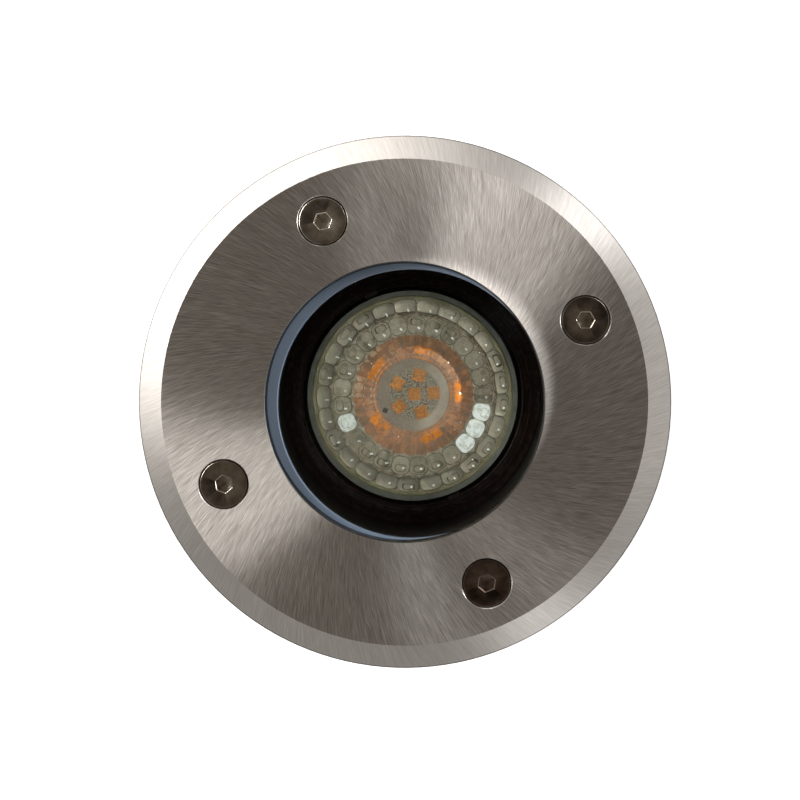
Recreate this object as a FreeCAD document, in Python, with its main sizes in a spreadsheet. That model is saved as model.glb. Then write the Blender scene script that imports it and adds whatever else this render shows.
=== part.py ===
import FreeCAD, Part
import math
import os
import re
import Sketcher

# A round walk-over ground light that takes a 50 mm GU10 lamp. All lengths are in millimetres.
# Z is the light's axis and points up. The origin is the centre of the base cap's flat underside.
# The four bezel screws lie on the diagonals and the cable leaves towards -Y.

SIZES = {
    # bezel and its screws
    "bezel_diameter": 110,
    "bezel_flat_diameter": 99.8,
    "bezel_rim_height": 1.2,
    "bezel_thickness": 3,
    "window_diameter": 57.4,
    "window_bevel_width": 0.15,
    "relief_groove_width": 1.1,
    "relief_groove_depth": 0.6,
    "relief_clearance": 0.3,
    "screw_circle_diameter": 81.5,
    "screw_angle": 45,
    "screw_count": 4,
    "screw_diameter": 5,
    "screw_length": 16,
    "screw_point_length": 0.6,
    "screw_hole_clearance": 0.25,
    "screw_head_diameter": 9.7,
    "screw_head_rim": 0.3,
    "countersink_clearance": 0.4,
    "hex_key_width": 3,
    "hex_depth": 1.9,
    # threaded inserts
    "insert_diameter": 6.4,
    "insert_length": 9.5,
    "insert_groove_width": 1.9,
    "insert_groove_depth": 0.3,
    "insert_clearance": 0.05,
    "thread_clearance": 0.06,
    # glass and gaskets
    "glass_thickness": 8,
    "glass_bevel_width": 0.5,
    "glass_clearance": 0.35,
    "top_gasket_thickness": 1.5,
    "top_gasket_width": 5.63,
    "top_gasket_offset": 1.42,
    "low_gasket_thickness": 1.5,
    "low_gasket_inset_width": 0.5,
    "gasket_clearance": 0.25,
    "lift_gap": 0.1,
    "cover_gap": 0.3,
    # housing
    "seat_height": 113.8,
    "collar_diameter": 98,
    "collar_height": 17,
    "collar_bevel_width": 0.5,
    "flare_height": 11,
    "ledge_height": 90.5,
    "ledge_width": 2.5,
    "seat_width": 4.5,
    "wall_thickness": 3.5,
    "shoulder_height": 4,
    "floor_thickness": 4,
    "base_bevel_width": 1.5,
    "entry_height": 34,
    "spigot_height": 3,
    "spigot_wall": 1.7,
    "spigot_clearance": 0.03,
    "entry_flat_offset": 28,
    "entry_step_width": 0.5,
    "fin_count": 12,
    "fin_thickness": 2,
    "fin_tip_radius": 38,
    "fin_seat_depth": 1,
    "fin_clearance": 0.02,
    "fin_gap": 2,
    "fin_bevel_height": 5,
    "fin_edge_width": 3,
    "post_spacing": 34,
    "post_diameter": 7,
    "post_height": 6,
    "tip_clearance": 2,
    # ring round the lamp
    "ring_height": 4,
    "ring_step_width": 1.9,
    "ring_rim_width": 2.25,
    "ring_step_height": 1,
    "ring_gap": 1.2,
    "ring_clearance": 0.15,
    "ring_bevel_width": 0.4,
    "tab_width": 3,
    "tab_reach_length": 0.7,
    "tab_angle": 133,
    # lamp
    "lamp_diameter": 50,
    "lamp_length": 54,
    "lamp_sink_depth": 0.5,
    "cup_wall": 1.1,
    "cup_rim_height": 4.5,
    "cup_bulge_radius": 44,
    "neck_length": 4,
    "base_diameter": 26,
    "base_length": 16,
    "base_wall": 1.4,
    "base_taper_width": 1.5,
    "part_clearance": 0.1,
    "pin_spacing": 10,
    "pin_length": 7.5,
    "pin_neck_diameter": 3.2,
    "pin_head_diameter": 5,
    "pin_head_height": 3,
    "pin_bevel_width": 0.4,
    "lens_thickness": 2.4,
    "lens_centre_diameter": 18,
    "lens_centre_depth": 0.5,
    "lens_sink_depth": 0.3,
    "lenslet_count": 25,
    "inner_lenslet_circle_diameter": 33.8,
    "inner_lenslet_diameter": 3.7,
    "outer_lenslet_circle_diameter": 42.6,
    "outer_lenslet_diameter": 3.6,
    "lenslet_height": 0.5,
    "lens_gap": 0.6,
    "dish_floor_diameter": 22,
    "dish_depth": 8,
    "dish_bulge_radius": 16,
    "board_diameter": 21,
    "board_thickness": 1.2,
    "chip_width": 3,
    "chip_thickness": 0.7,
    "chip_circle_diameter": 9.6,
    "ring_chip_count": 5,
    "ring_chip_angle": 24,
    "driver_width": 16,
    "driver_height": 14,
    "driver_thickness": 1.2,
    "capacitor_diameter": 5,
    "capacitor_length": 9,
    # lampholder
    "lamp_lift_height": 0.3,
    "holder_length": 34,
    "holder_width": 18,
    "holder_end_radius": 11,
    "holder_height": 16,
    "holder_cover_thickness": 3,
    "pin_clearance": 0.35,
    "lock_turn": 35,
    "contact_width": 4,
    "contact_sheet_thickness": 0.6,
    "contact_lift_height": 2.4,
    "holder_screw_spacing": 26,
    "holder_screw_diameter": 3,
    "holder_screw_head_diameter": 5.4,
    # strap under the lampholder
    "strap_width": 16,
    "strap_thickness": 1.5,
    "strap_span_width": 47,
    "strap_clearance": 1,
    "strap_bend_radius": 3,
    "strap_screw_diameter": 3,
    "strap_screw_head_diameter": 5.4,
    "strap_screw_head_height": 1.8,
    "strap_screw_length": 6,
    "lead_hole_diameter": 3,
    # terminal block
    "pole_pitch": 8,
    "pole_count": 3,
    "block_depth": 12,
    "block_height": 13,
    "block_offset": 6,
    "block_end_thickness": 1,
    "tube_diameter": 4,
    "tube_bore_diameter": 2.8,
    "tube_height": 4.5,
    "tube_inset_depth": 0.5,
    "clamp_screw_diameter": 2.6,
    "clamp_screw_spacing": 6,
    "clamp_screw_sink_depth": 1.5,
    # cable gland
    "gland_height": 19,
    "gland_thread_diameter": 16,
    "gland_thread_clearance": 0.2,
    "gland_bore_diameter": 10.4,
    "gland_washer_thickness": 1.2,
    "gland_flange_width": 21,
    "gland_flange_thickness": 4,
    "gland_collar_diameter": 16.4,
    "gland_collar_length": 6,
    "seal_diameter": 12,
    "seal_bore_diameter": 7,
    "seal_length": 8,
    "nut_width": 20,
    "nut_gap": 0.5,
    "nut_hex_length": 6.5,
    "nut_length": 11.5,
    "nut_clearance": 0.08,
    "nut_opening_diameter": 10,
    "nut_nose_diameter": 14,
    "locknut_width": 21,
    "locknut_thickness": 4,
    "gland_tail_length": 1,
}

# Places and sizes that follow from the ones above, lowest first.
WORKED_OUT = {
    # the stack on the housing's seat
    "glass_floor": "seat_height + low_gasket_thickness + lift_gap",
    "top_gasket_floor": "glass_floor + glass_thickness + lift_gap",
    "bezel_floor": "top_gasket_floor + top_gasket_thickness",
    "collar_top": "bezel_floor - cover_gap",
    "collar_floor": "collar_top - collar_height",
    "flare_floor": "collar_floor - flare_height",
    # radii
    "bezel_radius": "bezel_diameter / 2",
    "bezel_flat_radius": "bezel_flat_diameter / 2",
    "window_radius": "window_diameter / 2",
    "collar_radius": "collar_diameter / 2",
    "lamp_radius": "lamp_diameter / 2",
    "ring_bore_radius": "lamp_radius + ring_gap",
    "ring_step_radius": "ring_bore_radius + ring_step_width",
    "ring_radius": "ring_step_radius + ring_rim_width",
    "chamber_radius": "ring_radius + ring_clearance",
    "bore_radius": "chamber_radius - ledge_width",
    "glass_radius": "chamber_radius + seat_width",
    "recess_radius": "glass_radius + glass_clearance",
    "relief_radius": "collar_radius + relief_clearance",
    "shell_radius": "bore_radius + wall_thickness",
    "barrel_radius": "chamber_radius + wall_thickness",
    # spigot joint between barrel and base cap
    "spigot_radius": "bore_radius + spigot_wall",
    "socket_radius": "spigot_radius + spigot_clearance",
    "spigot_top": "entry_height + spigot_height",
    "socket_top": "spigot_top + spigot_clearance",
    # bezel screws
    "screw_centre": "screw_circle_diameter / 2",
    "screw_radius": "screw_diameter / 2",
    "screw_head_radius": "screw_head_diameter / 2",
    "screw_hole_radius": "screw_radius + screw_hole_clearance",
    "countersink_radius": "screw_head_radius + countersink_clearance",
    "countersink_depth": "countersink_radius - screw_hole_radius",
    "screw_top": "bezel_thickness - countersink_clearance + screw_head_rim",
    "screw_head_height": "screw_head_rim + screw_head_radius - screw_radius",
    "screw_tip": "bezel_floor + screw_top - screw_length",
    "insert_radius": "insert_diameter / 2",
    "insert_bore_radius": "screw_radius + thread_clearance",
    "insert_floor": "collar_top - insert_length",
    # lamp: its own zero is the face of its base
    "lamp_front": "ledge_height + ring_height - lamp_sink_depth",
    "lamp_body_length": "lamp_length - pin_length",
    "lamp_place": "lamp_front - lamp_body_length",
    "base_radius": "base_diameter / 2",
    "neck_bore_radius": "base_radius + part_clearance",
    "neck_radius": "neck_bore_radius + cup_wall",
    "neck_floor": "base_length - neck_length",
    "rim_floor": "lamp_body_length - cup_rim_height",
    "lens_floor": "lamp_body_length - lens_sink_depth - lens_thickness",
    "lens_radius": "lamp_radius - cup_wall - part_clearance",
    "lens_centre_radius": "lens_centre_diameter / 2",
    "dish_top": "lens_floor - lens_gap",
    "dish_floor": "dish_top - dish_depth",
    "dish_radius": "lens_radius - 2 * cup_wall",
    "slug_radius": "neck_bore_radius - part_clearance",
    "slug_floor": "base_length + part_clearance",
    "pin_place": "pin_spacing / 2",
    "pin_neck_radius": "pin_neck_diameter / 2",
    "pin_head_radius": "pin_head_diameter / 2",
    # lampholder: its own zero is its underside
    "holder_top": "lamp_place - lamp_lift_height",
    "holder_cover_floor": "holder_top - holder_cover_thickness",
    "holder_floor": "holder_cover_floor - holder_height",
    "slot_half_width": "pin_neck_radius + pin_clearance",
    "key_radius": "pin_head_radius + pin_clearance",
    "pin_depth": "pin_length - lamp_lift_height - holder_cover_thickness",
    "well_depth": "pin_depth + contact_lift_height + contact_sheet_thickness",
    "well_floor": "holder_height - well_depth",
    "holder_screw_place": "holder_screw_spacing / 2",
    "holder_screw_radius": "holder_screw_diameter / 2",
    "holder_screw_head_radius": "holder_screw_head_diameter / 2",
    "holder_screw_sink": "holder_screw_head_radius - holder_screw_radius",
    # strap: its own zero is the top of the posts
    "strap_floor": "floor_thickness + post_height",
    "strap_height": "holder_floor - strap_floor",
    "strap_half_span": "strap_span_width / 2",
    "strap_inner_span": "strap_half_span - strap_thickness",
    "strap_foot": "block_length / 2 + strap_clearance",
    "strap_screw_radius": "strap_screw_diameter / 2",
    "strap_screw_head_radius": "strap_screw_head_diameter / 2",
    "post_place": "post_spacing / 2",
    # cooling fins round the shell
    "fin_root": "shell_radius - fin_seat_depth",
    "fin_floor": "socket_top + fin_gap",
    "fin_top": "ledge_height - 2 * shoulder_height - fin_gap",
    # terminal block: its own zero is the housing's floor
    "block_length": "pole_pitch * pole_count + 2 * block_end_thickness",
    "tube_radius": "tube_diameter / 2",
    "clamp_screw_radius": "clamp_screw_diameter / 2",
    "clamp_screw_place": "clamp_screw_spacing / 2",
    "clamp_hole_radius": "clamp_screw_radius + insert_clearance",
    # cable gland: its own zero is the flat on the housing's outside, and it points away from the housing
    "entry_inner": "entry_flat_offset - wall_thickness",
    "low_bore_radius": "bore_radius - entry_step_width",
    "gland_thread_radius": "gland_thread_diameter / 2",
    "gland_bore_radius": "gland_bore_diameter / 2",
    "flange_floor": "gland_washer_thickness",
    "flange_top": "flange_floor + gland_flange_thickness",
    "gland_collar_radius": "gland_collar_diameter / 2",
    "gland_collar_top": "flange_top + gland_collar_length",
    "gland_tail_floor": "wall_thickness + locknut_thickness + gland_tail_length",
    "seal_radius": "seal_diameter / 2",
    "seal_bore_radius": "seal_bore_diameter / 2",
    "seal_floor": "flange_top",
    "seal_top": "seal_floor + seal_length",
    "nut_floor": "flange_top + nut_gap",
    "nut_bore_radius": "gland_collar_radius + nut_clearance",
    "nut_shelf": "seal_top + cover_gap",
    "nut_top": "nut_floor + nut_length",
}

PARTS_FOLDER = "parts"

doc = FreeCAD.newDocument("ground_light")
sheet = doc.addObject("Spreadsheet::Sheet", "Sizes")
for row, (alias, number) in enumerate(SIZES.items(), start=1):
    sheet.set(f"A{row}", alias)
    sheet.set(f"B{row}", str(number))
    sheet.setAlias(f"B{row}", alias)
doc.recompute()


# ---------------------------------------------------------------- helpers

def formula(text):
    """Write a formula in size names as an expression on the sheet."""
    def expand(match):
        word = match[0]
        if word in WORKED_OUT:
            return "(" + formula(WORKED_OUT[word]) + ")"
        return "Sizes." + word if word in SIZES else word
    return re.sub(r"[a-z][a-z_]*", expand, text)


def value(text):
    """The number that a formula gives now."""
    result = sheet.evalExpression(formula(text))
    return float(getattr(result, "Value", result))


def bind(target, path, text):
    target.setExpression(path, formula(text))


def new_body(name, x="0", y="0", z="0"):
    """A named body whose own zero stands at x, y, z."""
    body = doc.addObject("PartDesign::Body", name)
    body.Label = name
    body.AllowCompound = True
    for axis, text in (("x", x), ("y", y), ("z", z)):
        if text != "0":
            bind(body, f"Placement.Base.{axis}", text)
    return body


def new_gland_body(name):
    """A body whose own Z leaves the housing along the cable."""
    body = new_body(name)
    body.Placement.Rotation = FreeCAD.Rotation(FreeCAD.Vector(1, 0, 0), 90)
    bind(body, "Placement.Base.y", "-entry_flat_offset")
    bind(body, "Placement.Base.z", "gland_height")
    return body


def origin_part(body, role):
    return next(feature for feature in body.Origin.OriginFeatures if feature.Role == role)


def new_sketch(body, role, lift="0"):
    """A sketch on one of the body's own planes, moved along that plane's normal by lift."""
    sketch = body.newObject("Sketcher::SketchObject", f"{body.Name}_sketch")
    sketch.AttachmentSupport = [(origin_part(body, role), "")]
    sketch.MapMode = "FlatFace"
    if lift != "0":
        bind(sketch, "AttachmentOffset.Base.z", lift)
    return sketch


def pin_point(sketch, geometry, point, x, y):
    """Hold a point of the sketch at x and y."""
    for kind, text, axis in (("DistanceX", x, -2), ("DistanceY", y, -1)):
        if text == "0":
            sketch.addConstraint(Sketcher.Constraint("PointOnObject", geometry, point, axis))
        else:
            rule = Sketcher.Constraint(kind, -1, 1, geometry, point, value(text))
            bind(sketch, f"Constraints[{sketch.addConstraint(rule)}]", text)


def bent_edge(start, end, radius, side):
    """The short arc from start to end, with its centre on the left or right of that way."""
    chord = end - start
    left = FreeCAD.Vector(-chord.y, chord.x, 0).normalize()
    if side == "right":
        left = left * -1
    centre = (start + end) * 0.5 + left * math.sqrt(radius ** 2 - (chord.Length / 2) ** 2)
    first, last = (start, end) if side == "left" else (end, start)
    first_angle, last_angle = (math.atan2(p.y - centre.y, p.x - centre.x) for p in (first, last))
    circle = Part.Circle(centre, FreeCAD.Vector(0, 0, 1), radius)
    return Part.ArcOfCircle(circle, first_angle, last_angle)


def draw_outline(sketch, corners):
    """A closed outline. A corner is (x, y), or (x, y, radius, side) where the edge after it is an arc."""
    places = [FreeCAD.Vector(value(corner[0]), value(corner[1]), 0) for corner in corners]
    edges = []
    for index, corner in enumerate(corners):
        start, end = places[index], places[(index + 1) % len(places)]
        if len(corner) == 2:
            edges.append((sketch.addGeometry(Part.LineSegment(start, end), False), 1, 2))
            continue
        radius, side = corner[2:]
        arc = sketch.addGeometry(bent_edge(start, end, value(radius), side), False)
        edges.append((arc, 1, 2) if side == "left" else (arc, 2, 1))
    for index, (edge, _, end) in enumerate(edges):
        next_edge, next_start, _ = edges[(index + 1) % len(edges)]
        sketch.addConstraint(Sketcher.Constraint("Coincident", edge, end, next_edge, next_start))
    for (edge, start, _), corner in zip(edges, corners):
        pin_point(sketch, edge, start, corner[0], corner[1])
        if len(corner) == 4:
            rule = Sketcher.Constraint("Radius", edge, value(corner[2]))
            bind(sketch, f"Constraints[{sketch.addConstraint(rule)}]", corner[2])
    return sketch


def draw_box(sketch, left, low, right, high):
    return draw_outline(sketch, [(left, low), (right, low), (right, high), (left, high)])


def draw_circle(sketch, x, y, radius):
    centre = FreeCAD.Vector(value(x), value(y), 0)
    circle = sketch.addGeometry(Part.Circle(centre, FreeCAD.Vector(0, 0, 1), value(radius)), False)
    pin_point(sketch, circle, 3, x, y)
    rule = Sketcher.Constraint("Radius", circle, value(radius))
    bind(sketch, f"Constraints[{sketch.addConstraint(rule)}]", radius)
    return sketch


def draw_hexagon(sketch, across, centre="0"):
    """A hexagon of that width across its flats, with its centre on the X axis."""
    corner_radius = f"({across}) / 2 / cos(30)"
    corners = []
    for turn in range(0, 360, 60):
        x = f"{centre} + {corner_radius} * cos({turn})"
        y = "0" if turn % 180 == 0 else f"{corner_radius} * sin({turn})"
        corners.append((x, y))
    return draw_outline(sketch, corners)


def add_feature(body, kind, sketch):
    feature = body.newObject(f"PartDesign::{kind}", f"{body.Name}_{kind.lower()}")
    feature.Profile = sketch
    body.Tip = feature
    return feature


def turn_profile(body, kind, corners, centre="0", angle="360"):
    """Turn an outline drawn in X and Z about the upright line at x = centre."""
    sketch = draw_outline(new_sketch(body, "XZ_Plane"), corners)
    axis_name = "V_Axis"
    if centre != "0":
        foot, head = FreeCAD.Vector(value(centre), 0, 0), FreeCAD.Vector(value(centre), 1, 0)
        line = sketch.addGeometry(Part.LineSegment(foot, head), True)
        pin_point(sketch, line, 1, centre, "0")
        sketch.addConstraint(Sketcher.Constraint("Vertical", line))
        sketch.addConstraint(Sketcher.Constraint("DistanceY", line, 1, line, 2, 1))
        axis_name = "Axis0"
    feature = add_feature(body, kind, sketch)
    feature.ReferenceAxis = (sketch, [axis_name])
    if angle == "360":
        feature.Angle = 360
    else:
        bind(feature, "Angle", angle)
    doc.recompute()
    return feature


def spin(body, corners, centre="0"):
    return turn_profile(body, "Revolution", corners, centre)


def spin_cut(body, corners, centre="0", angle="360"):
    return turn_profile(body, "Groove", corners, centre, angle)


def rise(body, sketch, height, symmetric=False):
    """Pad a sketch along its normal, or to both sides of it."""
    pad = add_feature(body, "Pad", sketch)
    bind(pad, "Length", height)
    pad.Midplane = symmetric
    doc.recompute()
    return pad


def sink(body, sketch, depth, forwards=False, symmetric=False):
    """Cut a sketch into the body, against its normal unless forwards."""
    before = body.Shape.Volume
    pocket = add_feature(body, "Pocket", sketch)
    bind(pocket, "Length", depth)
    pocket.Reversed = forwards
    pocket.Midplane = symmetric
    doc.recompute()
    if pocket.Shape.Volume >= before:
        raise RuntimeError(f"{pocket.Name} cuts nothing")
    return pocket


def repeat_round(body, features, count):
    """Copies of the features, evenly spaced round the body's own Z."""
    pattern = body.newObject("PartDesign::PolarPattern", f"{body.Name}_round")
    pattern.Originals = features
    pattern.Axis = (origin_part(body, "Z_Axis"), [""])
    pattern.Angle = 360
    bind(pattern, "Occurrences", count)
    body.Tip = pattern
    doc.recompute()
    return pattern


def repeat_along(body, features, pitch, count):
    """Copies of the features along X, a pitch apart."""
    pattern = body.newObject("PartDesign::LinearPattern", f"{body.Name}_row")
    pattern.Originals = features
    pattern.Direction = (origin_part(body, "X_Axis"), [""])
    bind(pattern, "Length", f"({pitch}) * ({count} - 1)")
    bind(pattern, "Occurrences", count)
    body.Tip = pattern
    doc.recompute()
    return pattern


# ---------------------------------------------------------------- bezel, glass and gaskets

def make_bezel_plate():
    """Ring with a sloping edge, a window, countersunk holes and a groove over the collar's edge."""
    body = new_body("bezel_plate", z="bezel_floor")
    bind(body, "Placement.Rotation.Angle", "screw_angle")
    spin(body, [
        ("window_radius", "0"),
        ("relief_radius - relief_groove_width", "0"),
        ("relief_radius - relief_groove_width", "relief_groove_depth"),
        ("relief_radius", "relief_groove_depth"),
        ("relief_radius", "0"),
        ("bezel_radius", "0"),
        ("bezel_radius", "bezel_rim_height"),
        ("bezel_flat_radius", "bezel_thickness"),
        ("window_radius + window_bevel_width", "bezel_thickness"),
        ("window_radius", "bezel_thickness - window_bevel_width"),
    ])
    hole = spin_cut(body, [
        ("screw_centre", "0"),
        ("screw_centre + screw_hole_radius", "0"),
        ("screw_centre + screw_hole_radius", "bezel_thickness - countersink_depth"),
        ("screw_centre + countersink_radius", "bezel_thickness"),
        ("screw_centre", "bezel_thickness"),
    ], centre="screw_centre")
    repeat_round(body, [hole], "screw_count")


def make_bezel_screws():
    """Countersunk screws with a hexagon socket, seated in the bezel's holes."""
    body = new_body("bezel_screws", z="bezel_floor")
    bind(body, "Placement.Rotation.Angle", "screw_angle")
    shank = spin(body, [
        ("screw_centre", "screw_top"),
        ("screw_centre", "screw_top - screw_length"),
        ("screw_centre + screw_radius - screw_point_length", "screw_top - screw_length"),
        ("screw_centre + screw_radius", "screw_top - screw_length + screw_point_length"),
        ("screw_centre + screw_radius", "screw_top - screw_head_height"),
        ("screw_centre + screw_head_radius", "screw_top - screw_head_rim"),
        ("screw_centre + screw_head_radius", "screw_top"),
    ], centre="screw_centre")
    socket_sketch = draw_hexagon(new_sketch(body, "XY_Plane", "screw_top"), "hex_key_width", "screw_centre")
    socket = sink(body, socket_sketch, "hex_depth")
    repeat_round(body, [shank, socket], "screw_count")


def make_threaded_inserts():
    """Brass inserts pressed into the housing's collar, with a groove round the middle."""
    body = new_body("threaded_inserts", z="insert_floor")
    bind(body, "Placement.Rotation.Angle", "screw_angle")
    groove_radius = "screw_centre + insert_radius - insert_groove_depth"
    groove_floor = "(insert_length - insert_groove_width) / 2"
    groove_top = "(insert_length + insert_groove_width) / 2"
    insert = spin(body, [
        ("screw_centre + insert_bore_radius", "0"),
        ("screw_centre + insert_radius", "0"),
        ("screw_centre + insert_radius", groove_floor),
        (groove_radius, groove_floor),
        (groove_radius, groove_top),
        ("screw_centre + insert_radius", groove_top),
        ("screw_centre + insert_radius", "insert_length"),
        ("screw_centre + insert_bore_radius", "insert_length"),
    ], centre="screw_centre")
    repeat_round(body, [insert], "screw_count")


def make_top_gasket():
    """Silicone ring between glass and bezel. It sits a little towards +X in its recess."""
    body = new_body("top_gasket", x="top_gasket_offset", z="top_gasket_floor")
    outer = "recess_radius - top_gasket_offset - gasket_clearance"
    inner = f"{outer} - top_gasket_width"
    spin(body, [
        (inner, "0"),
        (outer, "0"),
        (outer, "top_gasket_thickness"),
        (inner, "top_gasket_thickness"),
    ])


def make_glass_disc():
    """Toughened glass with bevelled edges."""
    body = new_body("glass_disc", z="glass_floor")
    spin(body, [
        ("0", "0"),
        ("glass_radius - glass_bevel_width", "0"),
        ("glass_radius", "glass_bevel_width"),
        ("glass_radius", "glass_thickness - glass_bevel_width"),
        ("glass_radius - glass_bevel_width", "glass_thickness"),
        ("0", "glass_thickness"),
    ])


def make_lower_gasket():
    """Silicone ring on the housing's seat, under the glass."""
    body = new_body("lower_gasket", z="seat_height")
    spin(body, [
        ("chamber_radius + low_gasket_inset_width", "0"),
        ("recess_radius - gasket_clearance", "0"),
        ("recess_radius - gasket_clearance", "low_gasket_thickness"),
        ("chamber_radius + low_gasket_inset_width", "low_gasket_thickness"),
    ])


# ---------------------------------------------------------------- housing

def make_housing():
    """Cast body: collar with the glass seat, lamp chamber, and a barrel with grooves for the fins."""
    body = new_body("housing")
    spin(body, [
        ("socket_radius", "entry_height"),
        ("shell_radius", "entry_height"),
        ("shell_radius", "ledge_height - 2 * shoulder_height"),
        ("barrel_radius", "ledge_height - shoulder_height"),
        ("barrel_radius", "flare_floor"),
        ("collar_radius", "collar_floor"),
        ("collar_radius", "collar_top - collar_bevel_width"),
        ("collar_radius - collar_bevel_width", "collar_top"),
        ("recess_radius", "collar_top"),
        ("recess_radius", "seat_height"),
        ("chamber_radius", "seat_height"),
        ("chamber_radius", "ledge_height"),
        ("bore_radius", "ledge_height"),
        ("bore_radius", "socket_top"),
        ("socket_radius", "socket_top"),
    ])

    # shallow upright grooves that the cooling fins are pressed into
    groove_sketch = new_sketch(body, "XY_Plane", "fin_top")
    half_width = "(fin_thickness / 2 + fin_clearance)"
    draw_box(groove_sketch, "fin_root", f"-{half_width}", "barrel_radius", half_width)
    groove = sink(body, groove_sketch, "fin_top - fin_floor")
    repeat_round(body, [groove], "fin_count")

    # a stepped hole for each insert and the tip of its screw
    screw_x = "screw_centre * cos(screw_angle)"
    screw_y = "screw_centre * sin(screw_angle)"
    insert_sketch = new_sketch(body, "XY_Plane", "collar_top")
    draw_circle(insert_sketch, screw_x, screw_y, "insert_radius + insert_clearance")
    insert_hole = sink(body, insert_sketch, "insert_length")
    tip_sketch = new_sketch(body, "XY_Plane", "insert_floor")
    draw_circle(tip_sketch, screw_x, screw_y, "screw_hole_radius")
    tip_hole = sink(body, tip_sketch, "insert_floor - screw_tip + tip_clearance")
    repeat_round(body, [insert_hole, tip_hole], "screw_count")


def make_base_cap():
    """Cast cup whose spigot closes the barrel, with a flat for the cable entry and two posts inside."""
    body = new_body("base_cap")
    spin(body, [
        ("0", "0"),
        ("shell_radius - base_bevel_width", "0"),
        ("shell_radius", "base_bevel_width"),
        ("shell_radius", "entry_height"),
        ("spigot_radius", "entry_height"),
        ("spigot_radius", "spigot_top"),
        ("bore_radius", "spigot_top"),
        ("bore_radius", "entry_height"),
        ("0", "entry_height"),
    ])
    outer_flat = new_sketch(body, "XY_Plane")
    draw_box(outer_flat, "-collar_radius", "-collar_radius", "collar_radius", "-entry_flat_offset")
    sink(body, outer_flat, "entry_height", forwards=True)

    # the cup's bore is D-shaped, so that the cable entry has a flat wall inside and outside
    half_chord = "sqrt(low_bore_radius ^ 2 - entry_inner ^ 2)"
    lower_bore = draw_outline(new_sketch(body, "XY_Plane", "entry_height"), [
        (f"-{half_chord}", "-entry_inner"),
        (half_chord, "-entry_inner", "low_bore_radius", "left"),
        ("0", "low_bore_radius", "low_bore_radius", "left"),
    ])
    sink(body, lower_bore, "entry_height - floor_thickness")
    entry_hole = new_sketch(body, "XZ_Plane")
    draw_circle(entry_hole, "0", "gland_height", "gland_thread_radius + gland_thread_clearance")
    sink(body, entry_hole, "collar_radius", forwards=True)

    for side in ("-", ""):
        post_sketch = new_sketch(body, "XY_Plane", "floor_thickness")
        draw_circle(post_sketch, f"{side}post_place", "0", "post_diameter / 2")
        rise(body, post_sketch, "post_height")
        pilot_sketch = new_sketch(body, "XY_Plane", "strap_floor")
        draw_circle(pilot_sketch, f"{side}post_place", "0", "strap_screw_radius + insert_clearance")
        sink(body, pilot_sketch, "strap_screw_length")


def make_cooling_fins():
    """Flat fins pressed into the housing's grooves, with sloping ends."""
    body = new_body("cooling_fins")
    outline = draw_outline(new_sketch(body, "XZ_Plane"), [
        ("fin_root + fin_clearance", "fin_floor + fin_clearance"),
        ("fin_tip_radius - fin_edge_width", "fin_floor + fin_clearance"),
        ("fin_tip_radius", "fin_floor + fin_bevel_height"),
        ("fin_tip_radius", "fin_top - fin_bevel_height"),
        ("fin_tip_radius - fin_edge_width", "fin_top - fin_clearance"),
        ("fin_root + fin_clearance", "fin_top - fin_clearance"),
    ])
    fin = rise(body, outline, "fin_thickness", symmetric=True)
    repeat_round(body, [fin], "fin_count")


def make_lamp_ring():
    """Stepped ring on the housing's ledge, with two small tabs at the lamp's rim."""
    body = new_body("lamp_ring", z="ledge_height")
    bind(body, "Placement.Rotation.Angle", "tab_angle")
    spin(body, [
        ("ring_bore_radius", "0"),
        ("ring_radius", "0"),
        ("ring_radius", "ring_height"),
        ("ring_step_radius", "ring_height"),
        ("ring_step_radius", "ring_height - ring_step_height"),
        ("ring_bore_radius + ring_bevel_width", "ring_height - ring_step_height"),
        ("ring_bore_radius", "ring_height - ring_step_height - ring_bevel_width"),
    ])
    tab_sketch = new_sketch(body, "XY_Plane")
    inner, outer = "ring_bore_radius - tab_reach_length", "ring_bore_radius + tab_reach_length"
    draw_box(tab_sketch, inner, "-tab_width / 2", outer, "tab_width / 2")
    tab = rise(body, tab_sketch, "ring_height - ring_step_height")
    repeat_round(body, [tab], "2")


# ---------------------------------------------------------------- lamp

def new_lamp_body(name):
    return new_body(name, z="lamp_place")


def make_lamp_cup():
    """Glass cup with a neck, a curved reflector wall and a straight rim."""
    body = new_lamp_body("lamp_cup")
    spin(body, [
        ("neck_bore_radius", "neck_floor"),
        ("neck_radius", "neck_floor"),
        ("neck_radius", "base_length", "cup_bulge_radius", "left"),
        ("lamp_radius", "rim_floor"),
        ("lamp_radius", "lamp_body_length"),
        ("lamp_radius - cup_wall", "lamp_body_length"),
        ("lamp_radius - cup_wall", "lens_floor"),
        ("lamp_radius - 2 * cup_wall", "lens_floor"),
        ("lamp_radius - 2 * cup_wall", "rim_floor", "cup_bulge_radius - cup_wall", "right"),
        ("neck_bore_radius", "base_length + cup_wall"),
    ])


def make_lamp_base():
    """Hollow moulded base with holes for the two pins."""
    body = new_lamp_body("lamp_base")
    spin(body, [
        ("0", "0"),
        ("base_radius - base_taper_width", "0"),
        ("base_radius", "base_taper_width * 2"),
        ("base_radius", "base_length"),
        ("base_radius - base_wall", "base_length"),
        ("base_radius - base_wall", "base_wall * 2"),
        ("0", "base_wall * 2"),
    ])
    hole_sketch = new_sketch(body, "XY_Plane")
    draw_circle(hole_sketch, "pin_place", "0", "pin_neck_radius + insert_clearance")
    hole = sink(body, hole_sketch, "base_length", forwards=True)
    repeat_round(body, [hole], "2")


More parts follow.
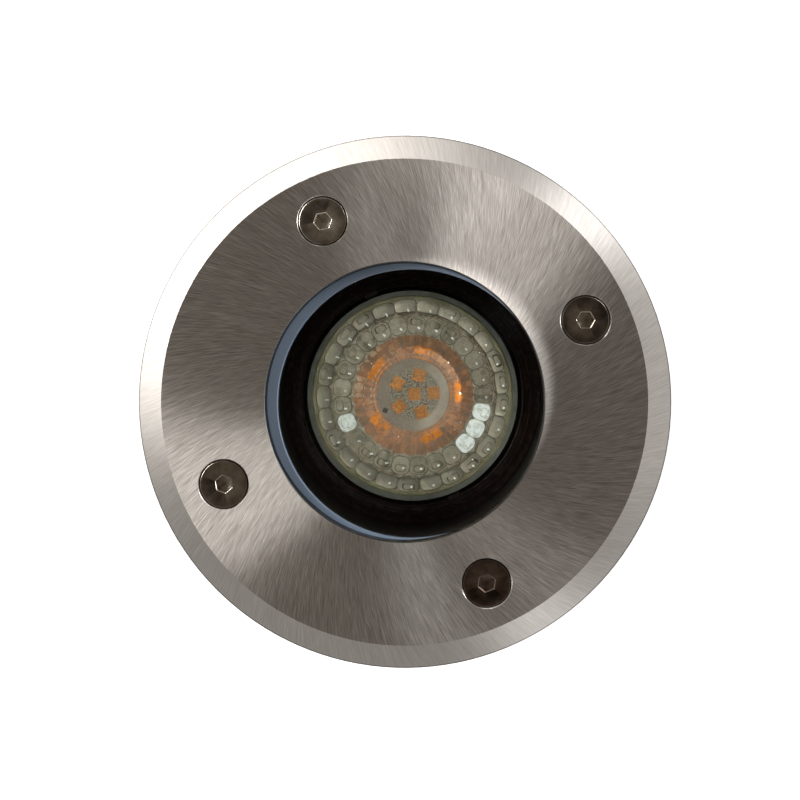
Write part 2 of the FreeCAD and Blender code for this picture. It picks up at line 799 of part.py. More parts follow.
def make_lamp_pins():
    """Two pins with a neck and a wider head below it."""
    body = new_lamp_body("lamp_pins")
    pin = spin(body, [
        ("pin_place", "base_wall * 2"),
        ("pin_place", "-pin_length"),
        ("pin_place + pin_head_radius - pin_bevel_width", "-pin_length"),
        ("pin_place + pin_head_radius", "-pin_length + pin_bevel_width"),
        ("pin_place + pin_head_radius", "-pin_length + pin_head_height"),
        ("pin_place + pin_neck_radius", "-pin_length + pin_head_height"),
        ("pin_place + pin_neck_radius", "base_wall * 2"),
    ], centre="pin_place")
    repeat_round(body, [pin], "2")


def make_lamp_heatsink():
    """Aluminium slug inside the cup: a bright dish on top carries the board, the driver sits below."""
    body = new_lamp_body("lamp_heatsink")
    shade = "2 * cup_wall + part_clearance"
    spin(body, [
        ("base_radius - base_wall", "slug_floor"),
        ("slug_radius", "slug_floor"),
        ("slug_radius", "slug_floor + cup_wall", f"cup_bulge_radius - {shade}", "left"),
        ("dish_radius - part_clearance", "rim_floor"),
        ("dish_radius - part_clearance", "dish_top"),
        ("dish_radius - cup_wall", "dish_top", "dish_bulge_radius", "right"),
        ("dish_floor_diameter / 2", "dish_floor"),
        ("0", "dish_floor"),
        ("0", "dish_floor - 2 * cup_wall"),
        ("base_radius - base_wall", "dish_floor - 2 * cup_wall"),
    ])


def make_lamp_lens():
    """Moulded lens: clear sunk centre, two rings of lenslets and a plain edge."""
    body = new_body("lamp_lens", z="lamp_place + lens_floor")
    spin(body, [
        ("0", "0"),
        ("lens_radius", "0"),
        ("lens_radius", "lens_thickness - lenslet_height"),
        ("lens_centre_radius + lens_centre_depth", "lens_thickness - lenslet_height"),
        ("lens_centre_radius", "lens_thickness - lenslet_height - lens_centre_depth"),
        ("0", "lens_thickness - lenslet_height - lens_centre_depth"),
    ])
    for circle, width in (("inner_lenslet_circle_diameter", "inner_lenslet_diameter"),
                          ("outer_lenslet_circle_diameter", "outer_lenslet_diameter")):
        sphere_radius = f"(({width}) ^ 2 / 4 + lenslet_height ^ 2) / 2 / lenslet_height"
        lenslet = body.newObject("PartDesign::AdditiveSphere", "lenslet")
        bind(lenslet, "Radius", sphere_radius)
        bind(lenslet, "Placement.Base.x", f"{circle} / 2")
        bind(lenslet, "Placement.Base.z", f"lens_thickness - {sphere_radius}")
        bind(lenslet, "Angle1", f"asin(1 - 2 * lenslet_height / ({sphere_radius}))")
        lenslet.Angle2 = 90
        doc.recompute()
        repeat_round(body, [lenslet], "lenslet_count")


def make_led_board():
    """Round board that carries the LEDs."""
    body = new_body("led_board", z="lamp_place + dish_floor")
    rise(body, draw_circle(new_sketch(body, "XY_Plane"), "0", "0", "board_diameter / 2"), "board_thickness")


def make_led_chips():
    """One chip in the middle and a ring of chips round it."""
    body = new_body("led_chips", z="lamp_place + dish_floor + board_thickness")
    bind(body, "Placement.Rotation.Angle", "ring_chip_angle")
    half = "chip_width / 2"
    middle = new_sketch(body, "XY_Plane")
    draw_box(middle, f"-{half}", f"-{half}", half, half)
    rise(body, middle, "chip_thickness")
    outer = new_sketch(body, "XY_Plane")
    centre = "chip_circle_diameter / 2"
    draw_box(outer, f"{centre} - {half}", f"-{half}", f"{centre} + {half}", half)
    chip = rise(body, outer, "chip_thickness")
    repeat_round(body, [chip], "ring_chip_count")


def make_driver_board():
    """Upright driver board in the lamp's base, with one large capacitor."""
    body = new_body("driver_board", z="lamp_place + base_wall * 2 + part_clearance")
    board = new_sketch(body, "XZ_Plane")
    draw_box(board, "-driver_width / 2", "0", "driver_width / 2", "driver_height")
    rise(body, board, "driver_thickness", symmetric=True)
    capacitor = new_sketch(body, "XY_Plane", "driver_height - capacitor_length")
    draw_circle(capacitor, "0", "capacitor_diameter / 2", "capacitor_diameter / 2")
    rise(body, capacitor, "capacitor_length")


# ---------------------------------------------------------------- lampholder

def draw_holder_outline(sketch):
    """Block with two bowed ends."""
    end_rise = "sqrt(holder_end_radius ^ 2 - holder_width ^ 2 / 4)"
    half_length = f"(holder_length / 2 - holder_end_radius + {end_rise})"
    return draw_outline(sketch, [
        (f"-{half_length}", "-holder_width / 2"),
        (half_length, "-holder_width / 2", "holder_end_radius", "left"),
        (half_length, "holder_width / 2"),
        (f"-{half_length}", "holder_width / 2", "holder_end_radius", "left"),
    ])


def make_lampholder_cover():
    """Ceramic plate with two keyhole slots: a pin goes in at the wide end and turns to the narrow one."""
    body = new_body("lampholder_cover", z="holder_cover_floor")
    rise(body, draw_holder_outline(new_sketch(body, "XY_Plane")), "holder_cover_thickness")
    slot = spin_cut(body, [
        ("pin_place - slot_half_width", "0"),
        ("pin_place + slot_half_width", "0"),
        ("pin_place + slot_half_width", "holder_cover_thickness"),
        ("pin_place - slot_half_width", "holder_cover_thickness"),
    ], angle="lock_turn")
    narrow_end = new_sketch(body, "XY_Plane", "holder_cover_thickness")
    draw_circle(narrow_end, "pin_place", "0", "slot_half_width")
    narrow = sink(body, narrow_end, "holder_cover_thickness")
    wide_end = new_sketch(body, "XY_Plane", "holder_cover_thickness")
    draw_circle(wide_end, "pin_place * cos(lock_turn)", "pin_place * sin(lock_turn)", "key_radius")
    wide = sink(body, wide_end, "holder_cover_thickness")
    repeat_round(body, [slot, narrow, wide], "2")
    hole_edge = "holder_screw_place + holder_screw_radius + part_clearance"
    sunk_hole = spin_cut(body, [
        ("holder_screw_place", "0"),
        (hole_edge, "0"),
        (hole_edge, "holder_cover_thickness - holder_screw_sink"),
        (f"{hole_edge} + holder_screw_sink", "holder_cover_thickness"),
        ("holder_screw_place", "holder_cover_thickness"),
    ], centre="holder_screw_place")
    repeat_round(body, [sunk_hole], "2")


def make_lampholder_body():
    """Ceramic block with a curved well below each keyhole and a hole for each screw and lead."""
    body = new_body("lampholder_body", z="holder_floor")
    rise(body, draw_holder_outline(new_sketch(body, "XY_Plane")), "holder_height")
    well = spin_cut(body, [
        ("pin_place - key_radius", "well_floor"),
        ("pin_place + key_radius", "well_floor"),
        ("pin_place + key_radius", "holder_height"),
        ("pin_place - key_radius", "holder_height"),
    ], angle="lock_turn")
    start_sketch = new_sketch(body, "XY_Plane", "holder_height")
    draw_circle(start_sketch, "pin_place", "0", "key_radius")
    start = sink(body, start_sketch, "well_depth")
    end_sketch = new_sketch(body, "XY_Plane", "holder_height")
    draw_circle(end_sketch, "pin_place * cos(lock_turn)", "pin_place * sin(lock_turn)", "key_radius")
    end = sink(body, end_sketch, "well_depth")
    lead_sketch = new_sketch(body, "XY_Plane", "well_floor")
    draw_circle(lead_sketch, "pin_place", "0", "lead_hole_diameter / 2")
    lead = sink(body, lead_sketch, "well_floor")
    screw_sketch = new_sketch(body, "XY_Plane", "holder_height")
    draw_circle(screw_sketch, "holder_screw_place", "0", "holder_screw_radius + part_clearance")
    screw = sink(body, screw_sketch, "holder_height")
    repeat_round(body, [well, start, end, lead, screw], "2")


def make_lampholder_contacts():
    """A bent copper spring under each pin."""
    body = new_body("lampholder_contacts", z="holder_floor + well_floor")
    half_width = "contact_width / 2"
    foot = f"pin_place - {half_width}"
    tongue = f"pin_place + {half_width}"
    top = "contact_lift_height"
    sketch = draw_outline(new_sketch(body, "XZ_Plane"), [
        (foot, "0"),
        (tongue, "0"),
        (tongue, top),
        (foot, top),
        (foot, f"{top} - contact_sheet_thickness"),
        (f"{tongue} - contact_sheet_thickness", f"{top} - contact_sheet_thickness"),
        (f"{tongue} - contact_sheet_thickness", "contact_sheet_thickness"),
        (foot, "contact_sheet_thickness"),
    ])
    spring = rise(body, sketch, "contact_width / 2", symmetric=True)
    repeat_round(body, [spring], "2")


def make_lampholder_screws():
    """Countersunk screws through cover and body into the strap."""
    body = new_body("lampholder_screws", z="holder_top")
    length = "holder_cover_thickness + holder_height + strap_thickness"
    screw = spin(body, [
        ("holder_screw_place", "0"),
        ("holder_screw_place", f"-({length})"),
        ("holder_screw_place + holder_screw_radius", f"-({length})"),
        ("holder_screw_place + holder_screw_radius", "-holder_screw_sink"),
        ("holder_screw_place + holder_screw_head_radius", "0"),
    ], centre="holder_screw_place")
    repeat_round(body, [screw], "2")


def make_lampholder_bracket():
    """Steel strap bent over the terminal block, with its feet turned in onto the housing's posts."""
    body = new_body("lampholder_bracket", z="strap_floor")
    inner_bend = "strap_bend_radius - strap_thickness"
    strap_sketch = draw_outline(new_sketch(body, "XZ_Plane"), [
        ("-strap_foot", "0"),
        ("-strap_foot", "strap_thickness"),
        ("-strap_inner_span", "strap_thickness"),
        ("-strap_inner_span", "strap_height - strap_bend_radius", inner_bend, "right"),
        (f"-strap_inner_span + {inner_bend}", "strap_height - strap_thickness"),
        (f"strap_inner_span - ({inner_bend})", "strap_height - strap_thickness", inner_bend, "right"),
        ("strap_inner_span", "strap_height - strap_bend_radius"),
        ("strap_inner_span", "strap_thickness"),
        ("strap_foot", "strap_thickness"),
        ("strap_foot", "0"),
        ("strap_half_span", "0"),
        ("strap_half_span", "strap_height - strap_bend_radius", "strap_bend_radius", "left"),
        ("strap_half_span - strap_bend_radius", "strap_height"),
        ("-strap_half_span + strap_bend_radius", "strap_height", "strap_bend_radius", "left"),
        ("-strap_half_span", "strap_height - strap_bend_radius"),
        ("-strap_half_span", "0"),
    ])
    rise(body, strap_sketch, "strap_width", symmetric=True)
    foot_hole = new_sketch(body, "XY_Plane")
    draw_circle(foot_hole, "post_place", "0", "strap_screw_radius + part_clearance")
    foot = sink(body, foot_hole, "strap_thickness", forwards=True)
    top_holes = new_sketch(body, "XY_Plane", "strap_height")
    draw_circle(top_holes, "holder_screw_place", "0", "holder_screw_radius + part_clearance")
    draw_circle(top_holes, "pin_place", "0", "lead_hole_diameter / 2 + part_clearance")
    top = sink(body, top_holes, "strap_thickness")
    repeat_round(body, [foot, top], "2")


def make_bracket_screws():
    """Pan-head screws through the strap's feet into the posts."""
    body = new_body("bracket_screws", z="strap_floor + strap_thickness")
    tip = "-(strap_screw_length - part_clearance)"
    head_edge = "post_place + strap_screw_head_radius"
    screw = spin(body, [
        ("post_place", "strap_screw_head_height"),
        ("post_place", tip),
        ("post_place + strap_screw_radius", tip),
        ("post_place + strap_screw_radius", "0"),
        (head_edge, "0"),
        (head_edge, "strap_screw_head_height / 2"),
        (f"{head_edge} - strap_screw_head_height / 2", "strap_screw_head_height"),
    ], centre="post_place")
    repeat_round(body, [screw], "2")


# ---------------------------------------------------------------- terminal block

FIRST_POLE = "-pole_pitch * (pole_count - 1) / 2"


def new_block_body(name):
    return new_body(name, y="block_offset", z="floor_thickness")


def make_terminal_block():
    """Insulating block with a through hole for each pole and two screw wells above it."""
    body = new_block_body("terminal_block")
    block_sketch = new_sketch(body, "XY_Plane")
    draw_box(block_sketch, "-block_length / 2", "-block_depth / 2", "block_length / 2", "block_depth / 2")
    rise(body, block_sketch, "block_height")
    tube_sketch = new_sketch(body, "XZ_Plane")
    draw_circle(tube_sketch, FIRST_POLE, "tube_height", "tube_radius + insert_clearance")
    tube_hole = sink(body, tube_sketch, "block_depth", symmetric=True)
    well_sketch = new_sketch(body, "XY_Plane", "block_height")
    for side in ("-", ""):
        draw_circle(well_sketch, FIRST_POLE, f"{side}clamp_screw_place", "clamp_hole_radius")
    well = sink(body, well_sketch, "block_height - tube_height")
    repeat_along(body, [tube_hole, well], "pole_pitch", "pole_count")


def make_terminal_tubes():
    """A brass tube in each pole, tapped from above for its screws."""
    body = new_block_body("terminal_tubes")
    tube_sketch = new_sketch(body, "XZ_Plane")
    draw_circle(tube_sketch, FIRST_POLE, "tube_height", "tube_radius")
    draw_circle(tube_sketch, FIRST_POLE, "tube_height", "tube_bore_diameter / 2")
    tube = rise(body, tube_sketch, "block_depth - 2 * tube_inset_depth", symmetric=True)
    tapped_sketch = new_sketch(body, "XY_Plane", "tube_height + tube_radius")
    for side in ("-", ""):
        draw_circle(tapped_sketch, FIRST_POLE, f"{side}clamp_screw_place", "clamp_hole_radius")
    tapped = sink(body, tapped_sketch, "tube_radius")
    repeat_along(body, [tube, tapped], "pole_pitch", "pole_count")


def make_terminal_screws():
    """Two clamping screws for each pole, ending inside its tube."""
    body = new_block_body("terminal_screws")
    screw_sketch = new_sketch(body, "XY_Plane", "tube_height")
    for side in ("-", ""):
        draw_circle(screw_sketch, FIRST_POLE, f"{side}clamp_screw_place", "clamp_screw_radius")
    screws = rise(body, screw_sketch, "block_height - clamp_screw_sink_depth - tube_height")
    repeat_along(body, [screws], "pole_pitch", "pole_count")


# ---------------------------------------------------------------- cable gland

def make_gland_washer():
    """Rubber ring between the gland's flange and the housing."""
    body = new_gland_body("gland_washer")
    sketch = new_sketch(body, "XY_Plane")
    draw_circle(sketch, "0", "0", "gland_flange_width / 2")
    draw_circle(sketch, "0", "0", "gland_thread_radius + gland_thread_clearance")
    rise(body, sketch, "gland_washer_thickness")


def make_gland_body():
    """Threaded tube through the housing's wall, with a hexagon flange and a wider mouth for the seal."""
    body = new_gland_body("gland_body")
    flange = draw_hexagon(new_sketch(body, "XY_Plane", "flange_floor"), "gland_flange_width")
    rise(body, flange, "gland_flange_thickness")
    spin(body, [
        ("0", "-(gland_tail_floor)"),
        ("gland_thread_radius", "-(gland_tail_floor)"),
        ("gland_thread_radius", "flange_floor + gland_flange_thickness / 2"),
        ("gland_collar_radius", "flange_floor + gland_flange_thickness / 2"),
        ("gland_collar_radius", "gland_collar_top"),
        ("0", "gland_collar_top"),
    ])
    spin_cut(body, [
        ("0", "-(gland_tail_floor)"),
        ("gland_bore_radius", "-(gland_tail_floor)"),
        ("gland_bore_radius", "seal_floor"),
        ("seal_radius + part_clearance", "seal_floor"),
        ("seal_radius + part_clearance", "gland_collar_top"),
        ("0", "gland_collar_top"),
    ])


def make_gland_seal():
    """Rubber sleeve that the nut squeezes onto the cable."""
    body = new_gland_body("gland_seal")
    spin(body, [
        ("seal_bore_radius", "seal_floor"),
        ("seal_radius", "seal_floor"),
        ("seal_radius", "seal_top - gasket_clearance * 2"),
        ("seal_radius - gasket_clearance * 2", "seal_top"),
        ("seal_bore_radius", "seal_top"),
    ])


def make_gland_nut():
    """Hexagon nut with a domed nose, turning on the gland's mouth."""
    body = new_gland_body("gland_nut")
    corner_radius = "nut_width / 2 / cos(30)"
    spin(body, [
        ("0", "nut_floor"),
        (corner_radius, "nut_floor"),
        (corner_radius, "nut_floor + nut_hex_length"),
        ("nut_width / 2", "nut_floor + nut_hex_length", "nut_width / 2", "left"),
        ("nut_nose_diameter / 2", "nut_top"),
        ("0", "nut_top"),
    ])
    flats = new_sketch(body, "XY_Plane", "nut_floor")
    draw_circle(flats, "0", "0", f"{corner_radius} + nut_gap")
    draw_hexagon(flats, "nut_width")
    sink(body, flats, "nut_hex_length", forwards=True)
    spin_cut(body, [
        ("0", "nut_floor"),
        ("nut_bore_radius", "nut_floor"),
        ("nut_bore_radius", "nut_shelf"),
        ("nut_opening_diameter / 2", "nut_shelf"),
        ("nut_opening_diameter / 2", "nut_top"),
        ("0", "nut_top"),
    ])


def make_gland_locknut():
    """Hexagon nut against the inside of the wall."""
    body = new_gland_body("gland_locknut")
    sketch = new_sketch(body, "XY_Plane", "-wall_thickness")
    draw_hexagon(sketch, "locknut_width")
    draw_circle(sketch, "0", "0", "gland_thread_radius + insert_clearance")
    pad = rise(body, sketch, "locknut_thickness")
    pad.Reversed = True
    doc.recompute()


# ---------------------------------------------------------------- the whole light

MAKERS = [
    make_bezel_plate, make_bezel_screws, make_threaded_inserts, make_top_gasket, make_glass_disc,
    make_lower_gasket, make_housing, make_base_cap, make_cooling_fins, make_lamp_ring, make_lamp_cup,
    make_lamp_base, make_lamp_pins, make_lamp_heatsink, make_lamp_lens, make_led_board, make_led_chips,
    make_driver_board, make_lampholder_cover, make_lampholder_body, make_lampholder_contacts,
    make_lampholder_screws, make_lampholder_bracket, make_bracket_screws, make_terminal_block,
    make_terminal_tubes, make_terminal_screws, make_gland_washer, make_gland_body, make_gland_seal,
    make_gland_nut, make_gland_locknut,
]

for make in MAKERS:
    make()
doc.recompute()

for item in doc.Objects:
    if "Invalid" in item.State or "Error" in item.State:
        raise RuntimeError(f"{item.Label} failed: {item.State}")

os.makedirs(PARTS_FOLDER, exist_ok=True)
bodies = [item for item in doc.Objects if item.TypeId == "PartDesign::Body"]
for body in bodies:
    if body.Shape.isNull() or not body.Shape.isValid():
        raise RuntimeError(f"{body.Label} has no valid shape")
for body in bodies:
    body.Shape.exportStep(f"{PARTS_FOLDER}/{body.Label}.step")
    print(body.Label, len(body.Shape.Solids), "solids", round(body.Shape.Volume, 1), "mm3")
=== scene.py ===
import math

import bmesh
import bpy
from mathutils import Matrix, Vector


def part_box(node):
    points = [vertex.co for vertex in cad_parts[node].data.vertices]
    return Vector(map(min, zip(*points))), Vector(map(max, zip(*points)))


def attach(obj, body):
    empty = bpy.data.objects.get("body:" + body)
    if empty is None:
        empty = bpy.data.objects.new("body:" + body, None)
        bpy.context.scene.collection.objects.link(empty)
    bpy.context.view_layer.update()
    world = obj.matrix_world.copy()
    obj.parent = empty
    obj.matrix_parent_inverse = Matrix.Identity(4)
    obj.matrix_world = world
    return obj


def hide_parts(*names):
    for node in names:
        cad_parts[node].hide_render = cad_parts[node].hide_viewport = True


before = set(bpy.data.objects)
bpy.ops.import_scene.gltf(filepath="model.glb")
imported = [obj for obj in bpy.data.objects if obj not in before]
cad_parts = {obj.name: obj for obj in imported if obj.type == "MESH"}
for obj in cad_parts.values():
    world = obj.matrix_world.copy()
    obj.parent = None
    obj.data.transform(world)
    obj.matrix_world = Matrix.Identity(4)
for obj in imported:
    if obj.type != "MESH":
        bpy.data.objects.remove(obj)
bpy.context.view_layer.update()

MM = 0.001
TURN = 2 * math.pi
BLACK, WHITE = (0, 0, 0), (1, 1, 1)

# The bezel screws stand on the diagonals of the frame. The photograph shows them turned by this
# much, so the camera is rolled instead of the object.
PHOTO_ROLL = math.radians(-20.6)

# ---------------------------------------------------------------- measures of the object

FACE_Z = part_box("bezel_plate")[1].z
BEZEL_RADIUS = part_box("bezel_plate")[1].x
FLAT_RADIUS = 49.9 * MM
WINDOW_RADIUS = 28.7 * MM
GLASS_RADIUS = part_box("glass_disc")[1].x

SCREW_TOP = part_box("bezel_screws")[1].z
SCREW_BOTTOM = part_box("bezel_screws")[0].z
SCREW_CIRCLE = 40.75 * MM
SCREW_PLACE = SCREW_CIRCLE * math.cos(math.radians(45))
# Each screw: its direction in the photograph, and how far its hexagon is turned there.
SCREW_TURNS = {24.4: 0, 114.4: 11, 204.4: 40.5, 294.4: 22}
SCREW_HEAD = 4.85 * MM
SCREW_SHANK = 2.5 * MM
SCREW_TIP = 0.6 * MM
SCREW_STEPS = 144
THREAD_END = 3.6 * MM
THREAD_PITCH = 0.8 * MM
THREAD_DEPTH = 0.42 * MM
THREAD_RINGS = 6
HEX_ACROSS = 3.1 * MM
# What lies below the face within this distance of a screw's axis is its countersink.
SUNK_RADIUS = 5.5 * MM

LENS_LOW, LENS_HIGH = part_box("lamp_lens")
LENS_RADIUS = LENS_HIGH.x
LENS_STEPS_ROUND = 450
LENS_STEPS_OUT = 110
# The lens's plain face stands this far below its highest point, and its clear centre lower still.
LENS_SINK = 0.75 * MM
CLEAR_SINK = 0.35 * MM
CLEAR_RADIUS = 9.2 * MM
# Rings of lenslets, outermost last: middle radius, half width outwards, rise, count and phase.
LENSLET_RINGS = [
    (10.9 * MM, 0.8 * MM, 0.10 * MM, 30, 0.0),
    (13.1 * MM, 1.2 * MM, 0.14 * MM, 30, 0.5),
    (16.9 * MM, 2.15 * MM, 0.72 * MM, 25, 0.0),
    (21.2 * MM, 1.85 * MM, 0.62 * MM, 25, 0.5),
]
LARGE_RINGS = LENSLET_RINGS[2:]
REFLECTION_RING = LENSLET_RINGS[2]
DIMPLE_POWER = 2.8

FLANGE_INNER, FLANGE_OUTER = 20.3 * MM, 22.7 * MM
FLANGE_LOW, FLANGE_HIGH = LENS_LOW.z - 0.50 * MM, LENS_LOW.z - 0.12 * MM
FLANGE_BEVEL = 0.1 * MM
FLANGE_STEPS = 180


# ---------------------------------------------------------------- node helpers

class Value:
    """A node's output, which the usual signs add, subtract, multiply, divide and raise."""

    def __init__(self, shader, socket):
        self.shader = shader
        self.socket = socket

    def __add__(self, other):
        return self.shader.math("ADD", self, other)

    def __sub__(self, other):
        return self.shader.math("SUBTRACT", self, other)

    def __rsub__(self, other):
        return self.shader.math("SUBTRACT", other, self)

    def __mul__(self, other):
        return self.shader.math("MULTIPLY", self, other)

    def __truediv__(self, other):
        return self.shader.math("DIVIDE", self, other)

    def __pow__(self, other):
        return self.shader.math("POWER", self, other)

    def __abs__(self):
        return self.shader.math("ABSOLUTE", self)


def set_stops(node, stops):
    """Give a colour ramp its stops, which are (place, colour) pairs."""
    elements = node.color_ramp.elements
    while len(elements) < len(stops):
        elements.new(0.5)
    for element, (place, colour) in zip(elements, stops):
        element.position = place
        element.color = (*colour, 1)


class Shader:
    """A material's node tree, with short calls for the nodes that the finishes need."""

    def __init__(self, name):
        self.material = bpy.data.materials.new(name)
        self.material.use_nodes = True
        self.tree = self.material.node_tree
        self.tree.nodes.clear()
        self.output = self.add("ShaderNodeOutputMaterial")
        self.place = self.output_of(self.add("ShaderNodeTexCoord"), "Object")

    def add(self, kind, **settings):
        node = self.tree.nodes.new(kind)
        for key, setting in settings.items():
            setattr(node, key, setting)
        return node

    def feed(self, socket, source):
        """Put a number, a colour or another node's output into a socket."""
        if isinstance(source, Value):
            self.tree.links.new(source.socket, socket)
        elif isinstance(source, tuple):
            socket.default_value = (*source, 1)
        else:
            socket.default_value = source

    def output_of(self, node, output, **inputs):
        """A node's output, with its inputs fed by name; underscores stand for spaces."""
        for name, source in inputs.items():
            self.feed(node.inputs[name.replace("_", " ")], source)
        return Value(self, node.outputs[output])

    def first_output(self, node, *sources):
        """A node's first output, with its inputs fed in their order."""
        for socket, source in zip(node.inputs, sources):
            self.feed(socket, source)
        return Value(self, node.outputs[0])

    def build(self, kind, **inputs):
        """The first output of a new node, with its inputs fed by name."""
        return self.output_of(self.add("ShaderNode" + kind), 0, **inputs)

    def math(self, operation, *sources):
        return self.first_output(self.add("ShaderNodeMath", operation=operation), *sources)

    def sine(self, angle):
        return self.math("SINE", angle)

    def cosine(self, angle):
        return self.math("COSINE", angle)

    def largest(self, first, second):
        return self.math("MAXIMUM", first, second)

    def length(self, x, y):
        return self.math("SQRT", x * x + y * y)

    def split(self, vector):
        node = self.add("ShaderNodeSeparateXYZ")
        self.feed(node.inputs[0], vector)
        return [Value(self, output) for output in node.outputs]

    def join(self, x, y, z):
        return self.first_output(self.add("ShaderNodeCombineXYZ"), x, y, z)

    def polar(self):
        """Distance from the Z axis in metres, and the angle round it."""
        x, y, _ = self.split(self.place)
        return self.length(x, y), self.math("ARCTAN2", y, x)

    def noise(self, place, scale, detail, rough):
        return self.output_of(self.add("ShaderNodeTexNoise"), "Fac",
                              Vector=place, Scale=scale, Detail=detail, Roughness=rough)

    def grain(self, scale, detail, rough):
        """Noise that is fixed to the object, with a scale per metre."""
        return self.noise(self.place, scale, detail, rough)

    def round_noise(self, angle, count, outwards, detail, rough):
        """Noise that follows an angle without a seam, and is finer for a larger count."""
        place = self.join(self.cosine(angle) * count, self.sine(angle) * count, outwards)
        return self.noise(place, 1.0, detail, rough)

    def ramp(self, source, stops):
        """Colours along a source: stops are (place, colour) pairs."""
        node = self.add("ShaderNodeValToRGB")
        set_stops(node, stops)
        return self.first_output(node, source)

    def rise(self, source, start, end, low=0.0, high=1.0):
        """Change from low to high while the source goes from start to end."""
        return self.ramp(source, [(start, (low,) * 3), (end, (high,) * 3)])

    def spread(self, source, low, high):
        """Map 0..1 to low..high."""
        return self.build("MapRange", Value=source, To_Min=low, To_Max=high)

    def above(self, source, level, soft):
        """0 below a level and 1 above it. A negative softness turns that round."""
        node = self.add("ShaderNodeMapRange", interpolation_type="SMOOTHSTEP")
        return self.output_of(node, "Result", Value=source,
                              From_Min=level - soft, From_Max=level + soft)

    def below(self, source, level, soft):
        """1 below a level and 0 above it."""
        return self.above(source, level, -soft)

    def band(self, source, low, high, soft):
        """1 between low and high, with soft edges."""
        return self.above(source, low, soft) * self.below(source, high, soft)

    def mix(self, factor, first, second):
        """Mix two colours."""
        node = self.add("ShaderNodeMix", data_type="RGBA")
        return self.output_of(node, "Result", Factor=factor, A=first, B=second)

    def bump(self, height, distance, strength):
        return self.build("Bump", Height=height, Distance=distance, Strength=strength)

    def blend(self, factor, first, second):
        """Mix two shaders."""
        return self.first_output(self.add("ShaderNodeMixShader"), factor, first, second)

    def total(self, first, second):
        """Add two shaders up."""
        return self.first_output(self.add("ShaderNodeAddShader"), first, second)

    def show(self, shader):
        """Put a shader on the surface, which finishes the material."""
        self.feed(self.output.inputs["Surface"], shader)
        return self.material


# ---------------------------------------------------------------- metals

# The grinding lines lean this far from straight outwards.
SWIRL = math.radians(20)
# Painted light: the screws are lightest towards this side, over this distance.
LIT_SIDE = Vector((math.cos(math.radians(135)), math.sin(math.radians(135))))
LIT_SPAN = 82 * MM


def brushed_steel():
    """Stainless ground in long fine lines that run outwards and swirl round the axis."""
    s = Shader("brushed_stainless")
    radius, angle = s.polar()
    log_radius = s.math("LOGARITHM", radius * 1000.0, math.e)
    along = angle - log_radius * math.tan(SWIRL)

    def lines(count, stretch, detail, slant=0.0):
        """Lines along the grinding, or at a slant to it; a small stretch makes them long."""
        turned = along + log_radius * slant
        return s.round_noise(turned, count, log_radius * stretch, detail, 0.6)

    fine = lines(count=330.0, stretch=11.0, detail=1.0)
    coarse = lines(count=110.0, stretch=5.0, detail=2.0)
    wide = lines(count=6.0, stretch=0.8, detail=1.0)
    crossing = lines(count=300.0, stretch=14.0, detail=2.0, slant=-0.45)
    leaning = lines(count=260.0, stretch=9.0, detail=2.0, slant=0.35)
    tone = fine * 0.7 + coarse * 0.12 + crossing * 0.18
    colour = s.ramp(tone, [
        (0.34, (0.36, 0.33, 0.30)), (0.5, (0.555, 0.518, 0.48)), (0.66, (0.76, 0.725, 0.68)),
    ])
    scratch = s.largest(s.rise(crossing, 0.64, 0.70), s.rise(leaning, 0.66, 0.72))
    colour = s.mix(scratch * 0.5, colour, (0.95, 0.92, 0.88))

    # Painted shade inside the countersinks, where the face sinks round each screw.
    x, y, z = s.split(s.place)
    from_screw = s.length(abs(x) - SCREW_PLACE, abs(y) - SCREW_PLACE)
    near_screw = s.below(from_screw, SUNK_RADIUS, 0.05 * MM)
    sunk = near_screw * s.below(z, FACE_Z - 0.09 * MM, 0.03 * MM)
    colour = s.mix(sunk * 0.95, colour, (0.03, 0.025, 0.02))
    # Paler and duller on the sloping edge. Painted shade: a dark line at its rim and at the
    # window's edge.
    slope = s.above(radius, FLAT_RADIUS, 0.02 * MM)
    colour = s.mix(slope * 0.6, colour, (0.70, 0.67, 0.635))
    rim = s.above(radius, BEZEL_RADIUS - 0.22 * MM, 0.08 * MM)
    colour = s.mix(rim * 0.8, colour, (0.13, 0.125, 0.12))
    edge = s.below(radius, WINDOW_RADIUS + 0.16 * MM, 0.02 * MM)
    colour = s.mix(edge * 0.9, colour, (0.06, 0.055, 0.05))
    return s.show(s.build(
        "BsdfPrincipled",
        Base_Color=colour,
        Metallic=1.0,
        Roughness=s.spread(coarse, 0.34, 0.40) + wide * 0.05 + slope * 0.14,
        Anisotropic=0.96,
        Anisotropic_Rotation=SWIRL / TURN,
        Normal=s.bump(fine, 0.02 * MM, 0.5),
        Tangent=s.first_output(s.add("ShaderNodeTangent", direction_type="RADIAL", axis="Z")),
    ))


def polished_screw():
    """Dark polished steel with smudges, and painted light: the screws are lighter towards one
    side.
    """
    s = Shader("polished_screw_steel")
    smudge = s.grain(320.0, 4.0, 0.65)
    speck = s.grain(2600.0, 2.0, 0.5)
    x, y, _ = s.split(s.place)
    # Painted light: the tone goes from dark screws to light ones towards the lit side.
    lit_side_share = (x * LIT_SIDE.x + y * LIT_SIDE.y) / LIT_SPAN + 0.5
    dark = s.mix(lit_side_share, (0.13, 0.085, 0.065), (0.48, 0.43, 0.35))
    light = s.mix(lit_side_share, (0.32, 0.25, 0.21), (0.72, 0.68, 0.60))
    return s.show(s.build(
        "BsdfPrincipled",
        Base_Color=s.mix(s.rise(smudge, 0.3, 0.7), dark, light),
        Metallic=1.0,
        Roughness=s.spread(smudge, 0.12, 0.30),
        Normal=s.bump(speck, 0.01 * MM, 0.4),
    ))


